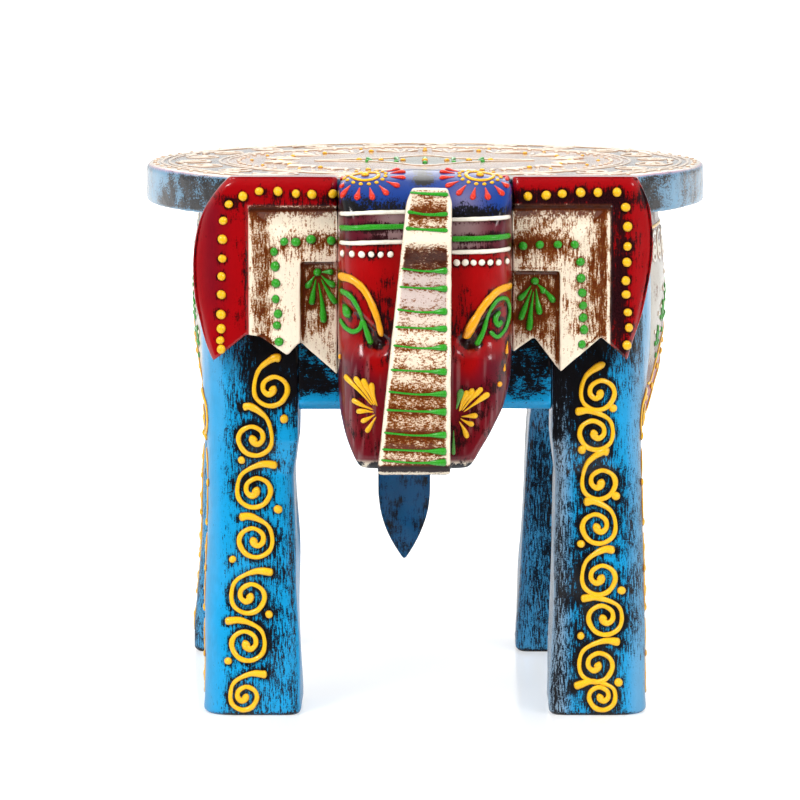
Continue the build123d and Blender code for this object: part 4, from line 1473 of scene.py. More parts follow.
@dataclass
class Head(WoodPiece):
    """The mask of a head: blue crown, banded forehead, carved eyes and plum cheeks.

    The bands are the heights of the forehead's three lines on each side. Places are across and up.
    """

    half_width: float = 37.5
    chin: float = 113.5
    left_bands: Triple = (223.8, 217.8, 211.4)
    right_bands: Triple = (221.2, 213.1, 207.5)
    flowers: Spot = (-25.7, 23.6)
    flower_y: float = -108.8
    flower_z: float = 239.3
    grain: float = 0.75
    rounding: int = 50
    node: ClassVar[str] = "head"
    slot: ClassVar[Slot] = Slot.FACE
    finish: ClassVar[AntiquedEnamel] = AntiquedEnamel(
        "face_enamel", streak_bite=0.60, speck_bite=0.40, lacquer=0.80, coat_roughness=0.14
    )
    left_eye: ClassVar[tuple[Spot, ...]] = (
        (-36.0, 190.4), (-31.6, 188.2), (-28.0, 182.5), (-26.4, 178.0), (-23.0, 167.4),
    )
    left_lid: ClassVar[tuple[Spot, ...]] = (
        (-26.6, 178.4), (-27.6, 174.6), (-30.6, 172.9), (-34.0, 174.4), (-36.2, 177.6),
    )
    left_pupil: ClassVar[tuple[Spot, ...]] = ((-34.6, 184.6), (-33.2, 181.8), (-32.2, 178.6))
    right_eye: ClassVar[tuple[Spot, ...]] = (
        (22.0, 167.0), (25.0, 173.6), (27.0, 181.0), (30.7, 186.7), (34.6, 186.8), (36.0, 181.0),
        (34.6, 174.6), (31.0, 170.6), (27.6, 173.2),
    )
    right_pupil: ClassVar[tuple[Spot, ...]] = ((32.0, 181.6), (30.0, 178.8), (31.0, 175.6), (32.8, 177.4))
    left_brow: ClassVar[tuple[Spot, ...]] = (
        (-36.4, 196.4), (-31.0, 195.4), (-25.6, 190.6), (-21.0, 181.0), (-18.4, 171.4),
    )
    right_brow: ClassVar[tuple[Spot, ...]] = (
        (36.4, 192.2), (31.0, 190.6), (25.4, 184.8), (20.6, 177.2), (16.8, 170.6),
    )
    left_fan: ClassVar[tuple[Spot, ...]] = (
        (-34.6, 154.4), (-30.3, 154.4), (-26.9, 153.7), (-23.1, 152.0),
        (-31.6, 144.3), (-29.9, 139.1), (-27.8, 134.4), (-25.4, 129.6),
    )
    right_fan: ClassVar[tuple[Spot, ...]] = (
        (18.4, 148.6), (20.9, 149.4), (24.8, 149.7), (27.8, 147.3),
        (23.1, 137.4), (21.4, 133.1), (18.4, 127.1),
    )
    dashes: ClassVar[tuple[Tendril, ...]] = (((35.4, 168.4), (34.6, 162.6)), ((34.2, 159.2), (33.6, 155.4)))

    def carve(self) -> None:
        """Cuts the eye hollows under the brows and swells the cheeks."""
        points = self.timber.points
        front = step(-self.timber.normals[:, 1], 0.15, 0.6)
        across, height = np.abs(points[:, 0] + 0.5), points[:, 2]
        from_trunk = np.clip(across - 16, 0, 20)
        brow = 170 + 1.25 * from_trunk - 0.02 * from_trunk**2
        beside_trunk = step(across, 12, 20)
        hollow = 2.4 * step(brow - height, -1.0, 2.5) * step(height, 160, 170) * beside_trunk
        notch = 2.8 * bell(np.hypot(across - 19.0, height - 168.0), 0, 3.8)
        cheek = -0.8 * bell(across, 27, 13) * bell(height, 150, 17)
        ridge = -0.9 * bell(height - brow, 4.0, 4.5) * beside_trunk
        self.timber.shift(1, front * (hollow + notch + cheek + ridge))
        self.timber.push(0.08 * Waver(61, 16).at(self.timber.points))

    def draw(self) -> None:
        """Squeezes all of the head's raised paint."""
        self.draw_bands()
        self.draw_cheeks()
        self.draw_flowers()

    def draw_bands(self) -> None:
        """Squeezes the forehead's lines, the rows of white dots and the two eyes."""
        white = ConeWork(self.timber, Paint.CHALK_WHITE, "white_bands")
        green = ConeWork(self.timber, Paint.LEAF_GREEN, "green_band_and_eyes")
        for sign, bands, inner, sag in ((-1, self.left_bands, -7.0, 0.7), (1, self.right_bands, 11.0, -0.6)):
            edge = sign * (self.half_width - 1.4)
            for work, height, width in zip((white, green, white), bands, (2.0, 2.5, 2.0)):
                run = [(edge, height - sag), ((edge + inner) / 2, height), (inner, height + 0.4 * sag)]
                work.line(Face.FRONT, run, width)
        white.dots(Face.FRONT, [(-35.0 + 4.05 * index, 206.3) for index in range(6)], 2.9)
        white.dots(Face.FRONT, [(13.5 + 3.55 * index, 202.8) for index in range(7)], 2.9)
        white.make()
        for spots, width, profile in (
            (self.left_eye, 2.3, (1.0, 1.1, 0.9, 0.9, 1.3)), (self.left_lid, 2.2, EVEN),
            (self.left_pupil, 4.6, (0.8, 1.1, 0.9)), (self.right_eye, 2.2, (1.3, 0.9, 0.9, 1.0, 0.9, 0.8)),
            (self.right_pupil, 2.4, EVEN),
        ):
            green.line(Face.FRONT, spots, width, profile)
        green.make()

    def draw_cheeks(self) -> None:
        """Squeezes the brows, the cheeks' petal fans and the marks beside them."""
        fans = ConeWork(self.timber, Paint.YOLK_YELLOW, "cheek_fans")
        fans.fan(Face.FRONT, (-19.7, 138.7), self.left_fan, 2.6)
        fans.fan(Face.FRONT, (13.6, 136.8), self.right_fan, 2.6)
        fans.make()
        amber = ConeWork(self.timber, Paint.AMBER, "brows_and_dashes")
        amber.line(Face.FRONT, self.left_brow, 3.3, (1.1, 1.1, 0.9, 0.9, 0.8))
        amber.line(Face.FRONT, self.right_brow, 3.3, (1.0, 1.0, 1.0, 1.2, 1.6))
        for root, tip in self.dashes:
            amber.petal(Face.FRONT, root, tip, 1.8)
        amber.dot(Face.FRONT, (31.8, 150.6), 2.6)
        amber.dot(Face.FRONT, (-36.2, 161.5), 2.4)
        amber.make()
        leaf = ConeWork(self.timber, Paint.EYE_GREEN, "cheek_leaf")
        leaf.petal(Face.FRONT, (13.4, 140.0), (15.8, 149.4), 3.4)
        leaf.petal(Face.FRONT, (12.2, 131.0), (12.2, 120.0), 1.8)
        leaf.make()

    def draw_flowers(self) -> None:
        """Squeezes the two round flowers that lie over the crown's edge, seen on a slant."""
        yellow = ConeWork(self.timber, Paint.YOLK_YELLOW, "flower_rings")
        red = ConeWork(self.timber, Paint.PETAL_RED, "flower_petals")
        level = math.sqrt(0.5) * (self.flower_y + self.flower_z)
        longest, shortest, highest = 18.4, 11.0, 104.0
        for middle in self.flowers:
            ring = [
                (middle + 6.0 * math.cos(turn), level + 4.9 * math.sin(turn))
                for turn in np.linspace(0, 2 * math.pi, 13)
            ]
            yellow.line(Face.CROWN, ring, 1.7)
            yellow.dot(Face.CROWN, (middle, level), 3.4)
            for index in range(16):
                turn = 2 * math.pi * (index + 0.5) / 16
                aside, above = math.cos(turn), math.sin(turn)
                spot = (middle + 9.0 * aside, level + 7.6 * above)
                if abs(spot[0]) < self.half_width - 1.5:
                    yellow.dot(Face.CROWN, spot, 1.9)
                reach = longest
                if aside * middle > 0:
                    reach = min(longest, (self.half_width - 1.6 - abs(middle)) / max(abs(aside), 0.01))
                root = (middle + 10.8 * aside, level + 9.6 * above)
                tip = (middle + reach * aside, level + 17.2 * above)
                if reach > shortest and tip[1] < highest:
                    red.petal(Face.CROWN, root, tip, 3.0)
        yellow.make()
        red.make()

    def coat(self) -> Coat:
        """Paints crown, bands, forehead, cheeks and chin, and rubs wash round the eyes and paint.

        Returns:
            The coat.
        """
        points = self.timber.points
        across, height = points[:, 0], points[:, 2]
        aside = np.abs(across)
        first, last = (np.where(across < 0, self.left_bands[row], self.right_bands[row]) for row in (0, 2))
        below_first, below_last = height - first, height - last
        coat = Coat(self.timber, Paint.FACE_RED, Paint.MAROON_WASH, 0.12)
        # The crown darkens towards the forehead and has a pale painted reflection beside the trunk.
        crown = step(below_first, -0.6, 0.6)
        coat.brush(Paint.CROWN_BLUE, crown)
        coat.tint(Paint.BLACK_WASH, crown)
        worn_top = 0.6 * bell(across, -1.0, 5.0) * step(height, 232, 237)
        coat.rub(crown * (0.60 * step(below_first, 11.0, 0.5) + worn_top))
        coat.brush(Paint.LILAC, 0.30 * crown * bell(across, 17, 7) * bell(height, 228, 7))
        # The bands are plum, with pale painted reflections on both sides of the trunk.
        bands = step(below_first, 0.6, -0.6) * step(below_last, -0.6, 0.6)
        coat.brush(Paint.PLUM, bands)
        coat.brush(Paint.LILAC, 0.45 * (bell(across, -13, 7) + bell(across, 16, 8)) * bands)
        # The cheeks are plum, with a painted highlight of brighter red under each eye, and a redder chin.
        cheeks = step(height, 168, 158)
        coat.brush(Paint.PLUM, cheeks)
        cheek_highlight = bell(np.abs(across + 0.5), 19, 5) * bell(height, 162, 8)
        coat.brush(Paint.CHEEK_RED, np.clip(1.5 * cheek_highlight, 0, 1))
        coat.brush(Paint.FACE_RED, 0.45 * bell(np.abs(across + 2.0), 22, 13) * bell(height, 134, 18))
        bright = bell(aside, 26, 12) * bell(height, 199, 10)
        coat.brush(Paint.CHEEK_RED, 0.8 * bright * step(below_last, 0.6, -0.6))
        # The wash gathers round the raised paint. Beside the trunk and in the hollows it is partly wash and
        # partly painted shade.
        round_paint = self.timber.nearness(4.0) * step(below_first, 2.0, -2.0)
        coat.rub(0.45 * round_paint * (1 - 0.65 * cheeks))
        coat.rub(0.30 * bell(aside, 14, 7) * step(height, 205, 190) * step(height, 150, 172))
        coat.rub(0.15 * cheeks + 0.08 * Waver(63, 14, (1, 1, 2.4)).at(points))
        # Pale vertical streaks on the cheeks are painted highlights.
        coat.brush(Paint.LILAC, 0.16 * cheeks * step(Waver(67, 3.0, (1, 1, 9)).at(points), 0.4, 1.6))
        coat.rub(0.6 * step(self.timber.sharpness(3), -0.01, -0.06))
        coat.rub(0.30 * step(aside, self.half_width - 1.2, self.half_width - 0.3))
        # The chin's lower edge is chipped back to cream.
        chipped = step(height, self.chin + 5.0, self.chin + 2.5)
        coat.brush(Paint.CREAM, chipped)
        coat.tint(Paint.BLACK_WASH, chipped)
        coat.rub(chipped * (0.50 + 0.26 * Waver(65, 5).at(points)))
        return coat


@dataclass
class Trunk(WoodPiece):
    """The raised trunk: cream, brown in the grain, with a rib of green at every fold."""

    root: float = 113.5
    top: float = 235.0
    crease: float = 199.0
    root_edges: Spot = (-20.3, 10.7)
    tip_edges: Spot = (-7.2, 11.4)
    stripes: tuple[float, ...] = (
        233.0, 225.1, 218.2, 200.9, 193.2, 183.9, 176.7, 169.0, 158.8, 149.6, 141.8, 132.1, 124.9, 120.2,
    )
    first_fold: int = 4
    # Bands of brown wash as height, width and amount. The band at 206 is partly painted shade under the
    # ridge, and the negative one at 214.5 wipes the ridge paler as a painted highlight.
    brown_bands: tuple[Triple, ...] = (
        (206, 5.0, 0.62), (147, 9, 0.30), (130, 9, 0.36), (226, 6.0, 0.34), (165, 12, 0.10),
        (214.5, 2.8, -0.30),
    )
    grain: float = 0.7
    rounding: int = 9
    node: ClassVar[str] = "trunk"
    slot: ClassVar[Slot] = Slot.TRUNK
    finish: ClassVar[AntiquedEnamel] = AntiquedEnamel(
        "trunk_enamel", grain=(2.0, 1.0, 1.0), cloud_bite=0.40, cloud_size=6.0, bare=0.24, full=0.84
    )

    def edges(self, height: float | np.ndarray) -> tuple[float | np.ndarray, float | np.ndarray]:
        """Gives the trunk's left and right edges at a height."""
        share = (height - self.root) / (self.top - self.root)
        return tuple(low + share * (high - low) for low, high in zip(self.root_edges, self.tip_edges))

    def draw(self) -> None:
        """Squeezes a green stripe at each fold, thin at the left and fat at the right."""
        green = ConeWork(self.timber, Paint.LEAF_GREEN, "green_stripes")
        for index, height in enumerate(self.stripes):
            left, right = self.edges(height)
            start, end = (left + 0.9, height + 0.4), (right - 1.6, height - 0.5)
            middle = ((start[0] + end[0]) / 2, height - 0.5 + 0.3 * (-1) ** index)
            profile = (0.6, 0.42, 0.42, 0.42, 0.46, 0.6, 1.25, 1.7)
            if height > self.crease + 12:
                profile = (1.0, 0.6, 0.55, 0.6, 0.7, 0.9, 1.0)
            green.line(Face.FRONT, [start, middle, end], 2.1, profile)
        green.make()

    def carve(self) -> None:
        """Cuts a shallow fold under each stripe and rounds the tip's corners."""
        points = self.timber.points
        folds = sum(bell(points[:, 2], height, 2.2) for height in self.stripes[self.first_fold :])
        self.timber.shift(1, 0.35 * folds * step(-self.timber.normals[:, 1], 0.4, 0.8))
        left, right = self.edges(points[:, 2])
        aside = (2 * points[:, 0] - left - right) / (right - left)
        self.timber.shift(0, -1.5 * aside * step(points[:, 2], 228, self.top))
        self.timber.push(0.06 * Waver(71, 9).at(self.timber.points))

    def coat(self) -> Coat:
        """Paints the trunk cream and rubs brown into its folds, but not along its two edges.

        Returns:
            The coat.
        """
        points, normals = self.timber.points, self.timber.normals
        across, height = points[:, 0], points[:, 2]
        left, right = self.edges(height)
        front = step(-normals[:, 1], 0.3, 0.6)
        body = front * step(across - left, 0.9, 2.2) * step(right - across, 1.3, 2.4)
        coat = Coat(self.timber, Paint.CREAM, Paint.BROWN_WASH, 0.0)
        # A pale band of painted reflection where the trunk faces up below the crease.
        coat.brush(Paint.LILAC, 0.75 * body * step(height, 172, 188) * step(height, 205, 200))
        brown = sum(share * bell(height, middle, width) for middle, width, share in self.brown_bands)
        coat.rub(body * (0.21 + 1.25 * brown + 0.24 * self.timber.nearness(3.0)))
        flank = step(np.abs(normals[:, 0]), 0.5, 0.8)
        coat.rub(flank * (0.16 + 0.12 * Waver(73, 14).at(points) + 0.5 * step(points[:, 1], -132, -129)))
        # Partly painted shade: the wash under the ridge turns black.
        coat.tint(Paint.BLACK_WASH, 0.55 * body * bell(height, 206, 6))
        # The lower end is dark, with one cream line left along it.
        base = step(height, self.root + 5.5, self.root + 4.0)
        coat.rub(base * (0.9 - bell(height, self.root + 1.0, 0.9)))
        coat.tint(Paint.BLACK_WASH, 0.9 * base)
        return coat


@dataclass
class Ear(WoodPiece):
    """One flat ear: red border, cream panel in steps, green leaves in its hollow.

    The panel's and the hollow's corner are given by an outer edge and a top each.
    """

    side: Side
    border_edge: float
    panel_edge: float
    panel_top: float
    hollow_edge: float
    hollow_top: float
    yellow_dots: tuple[Spot, ...]
    green_dots: tuple[Spot, ...]
    leaf_root: Spot
    leaf_tips: tuple[Spot, ...]
    grain: float = 0.75
    rounding: int = 2
    slot: ClassVar[Slot] = Slot.EAR
    finish: ClassVar[AntiquedEnamel] = AntiquedEnamel(
        "ear_enamel", lacquer=1.0, roughness=0.28, bare=0.28, full=0.80, glaze=0.2
    )

    @property
    def node(self) -> str:
        """The ear's node."""
        return f"ear_{self.side.name.lower()}"

    def insets(self) -> tuple[np.ndarray, np.ndarray]:
        """Measures how far each point lies inside the panel's outer edge and under its top."""
        points = self.timber.points
        return self.side.value * (self.panel_edge - points[:, 0]), self.panel_top - points[:, 2]

    def carve(self) -> None:
        """Rounds the border towards its outer edge and dishes the panel."""
        out, height = self.side.value * self.timber.points[:, 0], self.timber.points[:, 2]
        inside, under = self.insets()
        front = step(-self.timber.normals[:, 1], 0.3, 0.7)
        roll = step(out, self.border_edge - 9.0, self.border_edge) + 0.7 * step(height, 233.0, 239.5)
        panel = step(inside, -0.3, 0.6) * step(under, -0.3, 0.6)
        dish = 2.0 * np.sin(math.pi * np.clip((np.minimum(inside, under) - 1.0) / 14.0, 0, 1)) ** 2
        self.timber.shift(1, front * (2.4 * roll * (1 - panel) + dish * panel))
        self.timber.push(0.10 * Waver(81 + self.side.value, 20).at(self.timber.points))

    def draw(self) -> None:
        """Squeezes the border's and panel's dots and the hollow's leaves."""
        yellow = ConeWork(self.timber, Paint.YOLK_YELLOW, "yellow_dots")
        yellow.dots(Face.FRONT, self.yellow_dots, 4.0)
        yellow.make()
        green = ConeWork(self.timber, Paint.LEAF_GREEN, "green_dots_and_leaves")
        green.dots(Face.FRONT, self.green_dots, 4.1)
        green.dot(Face.FRONT, self.leaf_root, 3.6)
        green.fan(Face.FRONT, self.leaf_root, self.leaf_tips, 3.0)
        green.make()

    def coat(self) -> Coat:
        """Paints the border red, the panel cream and the back blue, and rubs wash into all three.

        Returns:
            The coat.
        """
        points, normals, sign = self.timber.points, self.timber.normals, self.side.value
        out, height = sign * points[:, 0], points[:, 2]
        inside, under = self.insets()
        forward = step(points[:, 1], -92.5, -94.5)
        panel = step(inside, -0.2, 0.3) * step(under, -0.2, 0.3) * forward
        back = step(normals[:, 1], 0.3, 0.7)
        coat = Coat(self.timber, Paint.EAR_RED, Paint.MAROON_WASH, 0.08 + 0.07 * sign)
        # The border: dark round its dots and along the panel, and plum down the left ear, which is painted
        # shade.
        beside = bell(out, sign * self.panel_edge + 3, 4.0) * step(height, 236, 220) + bell(under, -2.6, 3.4)
        round_dots = 0.30 * self.timber.nearness(5.5) + 0.40 * self.timber.nearness(3.4)
        coat.rub((1 - panel) * (round_dots + (0.44 + 0.14 * sign) * beside))
        coat.rub((1 - panel) * 0.06 * Waver(83 + sign, 16, (1, 1, 2)).at(points))
        plum = bell(out, 91.5, 5.5) * step(height, 160, 195) * step(height, 232, 222)
        coat.brush(Paint.PLUM, 0.30 * (1 - sign) * plum)
        coat.brush(Paint.LEG_BLUE, back)
        # The panel: brown down its outer side, across its top and in the hollow.
        coat.brush(Paint.CREAM, panel * (1 - back))
        coat.tint(Paint.BROWN_WASH, panel)
        wide = 3.7 - 0.9 * sign
        slope = bell(inside, 0.9 + wide, wide) + 0.8 * bell(under, 3.2, 2.6)
        across = bell(under, 15.5, 6.0) * step(inside, 12, 24)
        across = across - 0.5 * bell(under, 8.0, 3.0) * step(inside, 6, 12)
        lowest = min(spot[1] for spot in self.leaf_tips)
        lip = step(height, lowest + 3, lowest - 6)
        pit = step(sign * self.hollow_edge - out, -0.4, 0.4) * step(self.hollow_top - height, -0.4, 0.4)
        coat.rub(panel * (0.22 + 0.40 * slope + 0.42 * across - 0.16 * lip + 0.26 * pit))
        # Wash round the panel's paint, and a dark line along the panel's top under the border's edge, which
        # is painted shadow and is tinted black below.
        coat.rub(panel * (0.34 * self.timber.nearness(3.4) + 0.9 * bell(under, 1.4, 0.9)))
        coat.tint(Paint.BLACK_WASH, 0.7 * panel * bell(under, 1.0, 1.3))
        # Darker in the hollows, partly wash and partly painted shade; paler on the panel's ridges, partly
        # wear and partly painted highlight.
        sharp = self.timber.sharpness(2)
        coat.rub(0.55 * step(sharp, -0.01, -0.06) * forward - 0.25 * panel * step(sharp, 0.02, 0.06))
        return coat


@dataclass
class Tail(WoodPiece):
    """The flat pointed tail in dark blue."""

    middle_x: float = -10.0
    leaf_heights: tuple[float, ...] = (180, 160, 140, 120, 100)
    grain: float = 0.8
    rounding: int = 4
    node: ClassVar[str] = "tail"
    slot: ClassVar[Slot] = Slot.BODY
    finish: ClassVar[AntiquedEnamel] = AntiquedEnamel(
        "tail_enamel", streak_bite=0.45, speck_bite=0.35, bare=0.30, full=0.85
    )

    def carve(self) -> None:
        """Leaves long knife marks."""
        self.timber.push(0.12 * Waver(91, 16, (1, 1, 3)).at(self.timber.points) - 0.05)

    def draw(self) -> None:
        """Squeezes pairs of leaves and dots down the rear face."""
        work = ConeWork(self.timber, Paint.YOLK_YELLOW, "leaves")
        for height in self.leaf_heights:
            for sign in (-1, 1):
                root = (self.middle_x + sign * 1.2, height - 6)
                work.petal(Face.REAR, root, (self.middle_x + sign * 7.5, height + 3), 2.6)
            work.dot(Face.REAR, (self.middle_x, height + 5), 3.0)
        work.make()

    def coat(self) -> Coat:
        """Paints the tail blue, darker towards its edges and its point.

        Returns:
            The coat.
        """
        points = self.timber.points
        across, height = np.abs(points[:, 0] - self.middle_x), points[:, 2]
        coat = Coat(self.timber, Paint.TAIL_BLUE, Paint.BLACK_WASH, 0.06)
        coat.rub(0.07 * Waver(93, 14, (1, 1, 2.4)).at(points))
        # Darker in the hollows: partly wash, partly painted shade.
        coat.rub(0.1 * step(self.timber.sharpness(3), -0.01, -0.05))
        coat.rub(0.3 * self.timber.nearness(4.0) + 0.10 * step(across, 6, 12) + 0.34 * step(height, 98, 74))
        # A painted highlight of paler sky blue down the middle.
        coat.brush(Paint.SKY_BLUE, 0.35 * bell(across, 0, 6) * bell(height, 108, 16))
        return coat


@dataclass(frozen=True)
class Fixings:
    """The dowels and screws inside the stool, kept as solids and given their stuffs."""

    dowels: tuple[str, ...] = (
        "seat_dowels", "front_board_dowels", "rear_board_dowels",
        "side_board_dowels", "ear_dowels", "trunk_dowels",
    )
    screws: tuple[str, ...] = ("head_screws", "tail_screws")

    def make(self) -> None:
        """Gives each set its material."""
        for names, finish in ((self.dowels, TurnedDowel()), (self.screws, ScrewSteel())):
            for name in names:
                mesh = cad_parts[name].data
                mesh.materials.clear()
                mesh.materials.append(SHELF.take(finish))
                log.info("%s: kept", name)


@dataclass(frozen=True)
class Lamp:
    """A square soft lamp. Only a mirrored one shows in the gloss of the paint."""

    name: str
    place: Triple
    size: float
    power: float
    mirrored: bool

    def hang(self, target: Triple) -> None:
        """Hangs the lamp so that it looks at the target.

        Args:
            target: The place, in millimetres.
        """
        lamp = bpy.data.lights.new(self.name, "AREA")
        lamp.size = self.size
        lamp.energy = self.power
        holder = show(self.name, lamp)
        holder.location = Vector(self.place) * MM
        holder.visible_glossy = self.mirrored
        aim = Vector(target) * MM - holder.location
        holder.rotation_euler = aim.to_track_quat("-Z", "Y").to_euler()


@dataclass(frozen=True)
class Studio:
    """A white floor, soft lamps and the camera, low in front of the stool.

    The surround's four numbers are the lit range along Y and the light in front and behind.
    """

    camera_place: Triple = (0.0, -2095.5, 383.3)
    camera_dip: float = 6.935
    lens: float = 208.94
    sensor: float = 36.0
    side_shift: float = -0.03125
    sight: float = 50.0
    floor_half: float = 6000.0
    floor_front: float = -420.0
    sweep: float = 1500.0
    sweep_rows: int = 24
    near_glow: float = 0.42
    surround: tuple[float, ...] = (-0.8, 0.2, 0.05, 1.00)
    target: Triple = (0, 0, 120)
    lamps: tuple[Lamp, ...] = (
        Lamp("key", (-1300, -1500, 1250), 2.0, 32.5, False),
        Lamp("fill", (1300, -1500, 900), 2.0, 21.5, False),
        Lamp("left_spark", (-900, -1500, 1300), 0.40, 10.0, True),
        Lamp("right_spark", (1000, -1400, 800), 0.40, 5.0, True),
        Lamp("back", (0, 1500, 1500), 1.6, 16.0, True),
    )

    def lay_floor(self) -> None:
        """Lays a white floor that sweeps up behind the stool."""
        mesh = bpy.data.meshes.new("studio_floor")
        half, sweep = self.floor_half * MM, self.sweep * MM
        rows = [(self.floor_front * MM, 0.0), (half, 0.0)]
        turns = np.linspace(0, math.pi / 2, self.sweep_rows)
        rows += [(half + sweep * math.sin(turn), sweep - sweep * math.cos(turn)) for turn in turns[1:]]
        rows.append((half + sweep, 2 * half))
        vertices = [(side * 2 * half, along, up) for along, up in rows for side in (-1, 1)]
        starts = range(0, 2 * len(rows) - 2, 2)
        mesh.from_pydata(vertices, [], [(start, start + 1, start + 3, start + 2) for start in starts])
        mesh.shade_smooth()
        mesh.materials.append(self.floor_paint())
        floor = show("studio_floor", mesh)

    def floor_paint(self) -> bpy.types.Material:
        """Makes the floor's paint, which shows white and still keeps the stool's shadow.

        Returns:
            The new material.
        """
        sheet = NodeSheet("floor_white")
        white = Paint.FLOOR_WHITE.linear
        sheet.join(sheet.blend(sheet.noise(180.0, 2.0), white, white * 0.985), sheet.shader, "Base Color")
        sheet.fix({"Roughness": 0.16, "Specular IOR Level": 0.5})
        sheet.shader.inputs["Emission Color"].default_value = WHITE
        place = sheet.add("TexCoord")
        apart = sheet.add("VectorMath")
        apart.operation = "LENGTH"
        sheet.join(place.outputs["Object"], apart, "Vector")
        path = sheet.add("LightPath")
        glow = sheet.ramp(apart.outputs["Value"], 0.25, 0.9, self.near_glow, 1.0)
        far = sheet.ramp(apart.outputs["Value"], 0.6, 1.6, 0.0, 0.5)
        shown = sheet.maths("MULTIPLY", path.outputs["Is Camera Ray"], glow)
        mirrored = sheet.maths("MULTIPLY", path.outputs["Is Glossy Ray"], far)
        sheet.join(sheet.maths("MAXIMUM", shown, mirrored), sheet.shader, "Emission Strength")
        return sheet.material

    def set_surround(self) -> None:
        """Sets a surround that the camera sees white, and that lights the stool from behind."""
        world = bpy.data.worlds.new("white_surround")
        world.use_nodes = True
        nodes, link = world.node_tree.nodes, world.node_tree.links.new
        nodes.clear()
        seen, lit = nodes.new("ShaderNodeBackground"), nodes.new("ShaderNodeBackground")
        seen.inputs["Color"].default_value = WHITE
        place, split = nodes.new("ShaderNodeTexCoord"), nodes.new("ShaderNodeSeparateXYZ")
        rise = nodes.new("ShaderNodeMapRange")
        for name, number in zip(("From Min", "From Max", "To Min", "To Max"), self.surround):
            rise.inputs[name].default_value = number
        link(place.outputs["Generated"], split.inputs[0])
        link(split.outputs["Y"], rise.inputs["Value"])
        link(rise.outputs[0], lit.inputs["Strength"])
        path, mix = nodes.new("ShaderNodeLightPath"), nodes.new("ShaderNodeMixShader")
        link(path.outputs["Is Camera Ray"], mix.inputs[0])
        link(lit.outputs[0], mix.inputs[1])
        link(seen.outputs[0], mix.inputs[2])
        link(mix.outputs[0], nodes.new("ShaderNodeOutputWorld").inputs[0])
        bpy.context.scene.world = world

    def place_camera(self) -> None:
        """Sets the camera low in front, looking slightly down."""
        camera = bpy.data.cameras.new("camera")
        camera.lens = self.lens
        camera.sensor_width = self.sensor
        camera.shift_x = self.side_shift
        camera.clip_end = self.sight
        holder = show("camera", camera)
        holder.location = Vector(self.camera_place) * MM
        holder.rotation_euler = (math.radians(90 - self.camera_dip), 0, 0)
        bpy.context.scene.camera = holder

    def make(self) -> None:
        """Builds the studio."""
        bpy.context.scene.view_settings.view_transform = "Standard"
        self.lay_floor()
        self.set_surround()
        for lamp in self.lamps:
            lamp.hang(self.target)
        self.place_camera()


# ---------------------------------------------------------------- the stool
FRONT_LEFT = Leg(
    End.FRONT,
    Side.LEFT,
    clean_edge=0.32,
    tendrils=(
        ((-62.6, 157.4), (-67.0, 144.3)), ((-79.2, 136.0), (-74.0, 122.4)), ((-64.3, 110.5), (-74.6, 99.5)),
        ((-81.2, 87.6), (-74.0, 77.5)), ((-66.4, 63.3), (-77.4, 52.7)), ((-87.5, 41.6), (-77.5, 31.9)),
        ((-69.2, 18.3), (-79.4, 8.7)),
    ),
    drops=((-61.4, 131.1), (-79.9, 112.9), (-64.3, 91.1), (-84.0, 69.1), (-68.2, 44.9), (-86.1, 24.3)),
)
FRONT_RIGHT = Leg(
    End.FRONT,
    Side.RIGHT,
    wash_and_sheen=0.10,
    tendrils=(
        ((78.0, 153.9), (75.2, 142.5)), ((65.3, 134.2), (74.5, 125.0)), ((80.2, 116.2), (75.9, 103.0)),
        ((69.2, 94.2), (75.9, 83.6)), ((83.0, 73.0), (76.0, 61.1)), ((68.2, 51.8), (78.8, 43.4)),
        ((85.4, 32.7), (74.9, 22.5)), ((65.3, 13.0), (77.6, 8.6)),
    ),
    drops=(
        (81.8, 135.5), (68.4, 117.5), (83.3, 96.9), (68.1, 76.1), (86.0, 55.4), (68.3, 35.4), (84.8, 14.8),
    ),
)
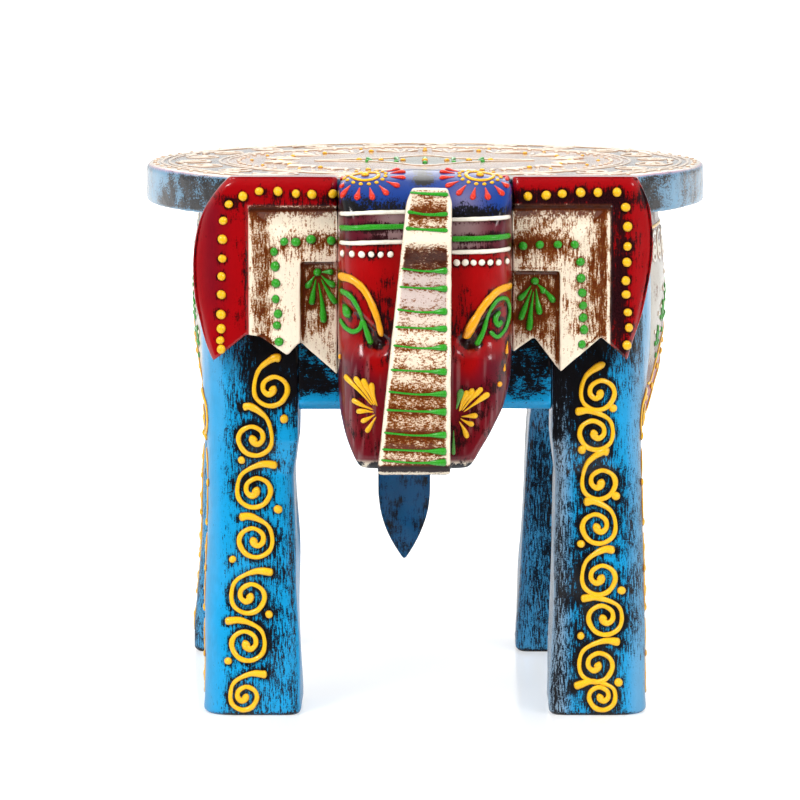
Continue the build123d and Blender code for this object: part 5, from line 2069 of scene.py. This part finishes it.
EAR_LEFT = Ear(
    Side.LEFT,
    border_edge=99.9,
    panel_edge=-76.0,
    panel_top=225.0,
    hollow_edge=-53.4,
    hollow_top=202.0,
    yellow_dots=(
        (-39.7, 230.3), (-48.6, 230.1), (-55.6, 230.3), (-63.2, 231.2), (-71.3, 231.2), (-78.4, 229.0),
        (-84.4, 225.6), (-86.9, 218.7), (-87.3, 210.5), (-87.4, 202.3), (-87.8, 194.5), (-87.9, 186.7),
        (-87.9, 178.1), (-88.0, 171.8), (-88.4, 167.0), (-88.0, 163.1),
    ),
    green_dots=(
        (-40.4, 210.2), (-49.0, 210.6), (-55.5, 209.7), (-60.6, 209.7), (-64.9, 205.4), (-64.3, 198.9),
        (-64.1, 191.6), (-64.2, 184.9), (-63.3, 178.6), (-63.8, 173.4), (-62.9, 166.5),
    ),
    leaf_root=(-46.5, 196.1),
    leaf_tips=(
        (-43.6, 173.5), (-49.2, 181.3), (-51.7, 188.7), (-38.0, 181.8), (-38.2, 189.6), (-38.8, 196.1),
    ),
)
EAR_RIGHT = Ear(
    Side.RIGHT,
    border_edge=97.3,
    panel_edge=80.0,
    panel_top=225.7,
    hollow_edge=58.0,
    hollow_top=198.5,
    yellow_dots=(
        (44.3, 229.0), (52.0, 229.5), (58.9, 230.3), (66.8, 230.8), (74.3, 230.8), (82.5, 230.8),
        (86.4, 224.3), (87.3, 216.1), (87.3, 207.5), (86.9, 200.8), (86.6, 192.8), (86.6, 186.7),
        (87.5, 178.9), (88.0, 172.4), (87.1, 164.6),
    ),
    green_dots=(
        (42.1, 208.0), (49.5, 208.4), (57.2, 208.4), (64.5, 208.4), (66.7, 200.9), (67.1, 193.8),
        (67.6, 187.7), (68.0, 182.1), (68.1, 176.7), (68.5, 171.5), (67.7, 165.2),
    ),
    leaf_root=(47.4, 192.2),
    leaf_tips=((39.8, 183.5), (40.8, 174.8), (44.9, 170.1), (49.8, 177.0), (52.2, 186.5), (56.5, 182.6)),
)


def main() -> None:
    """Builds the stool's dressed pieces in order, then the studio."""
    logging.basicConfig(level=logging.INFO, format="%(message)s")
    sub_assemblies = (
        Seat(), FRONT_LEFT, FRONT_RIGHT, Leg(End.REAR, Side.LEFT), Leg(End.REAR, Side.RIGHT),
        SideBoard(Side.LEFT), SideBoard(Side.RIGHT), EndBoard(End.FRONT), EndBoard(End.REAR),
        Head(), Trunk(), EAR_LEFT, EAR_RIGHT, Tail(), Fixings(), Studio(),
    )
    for sub_assembly in sub_assemblies:
        log.info("making %s", type(sub_assembly).__name__)
        sub_assembly.make()


if __name__ == "__main__":
    main()
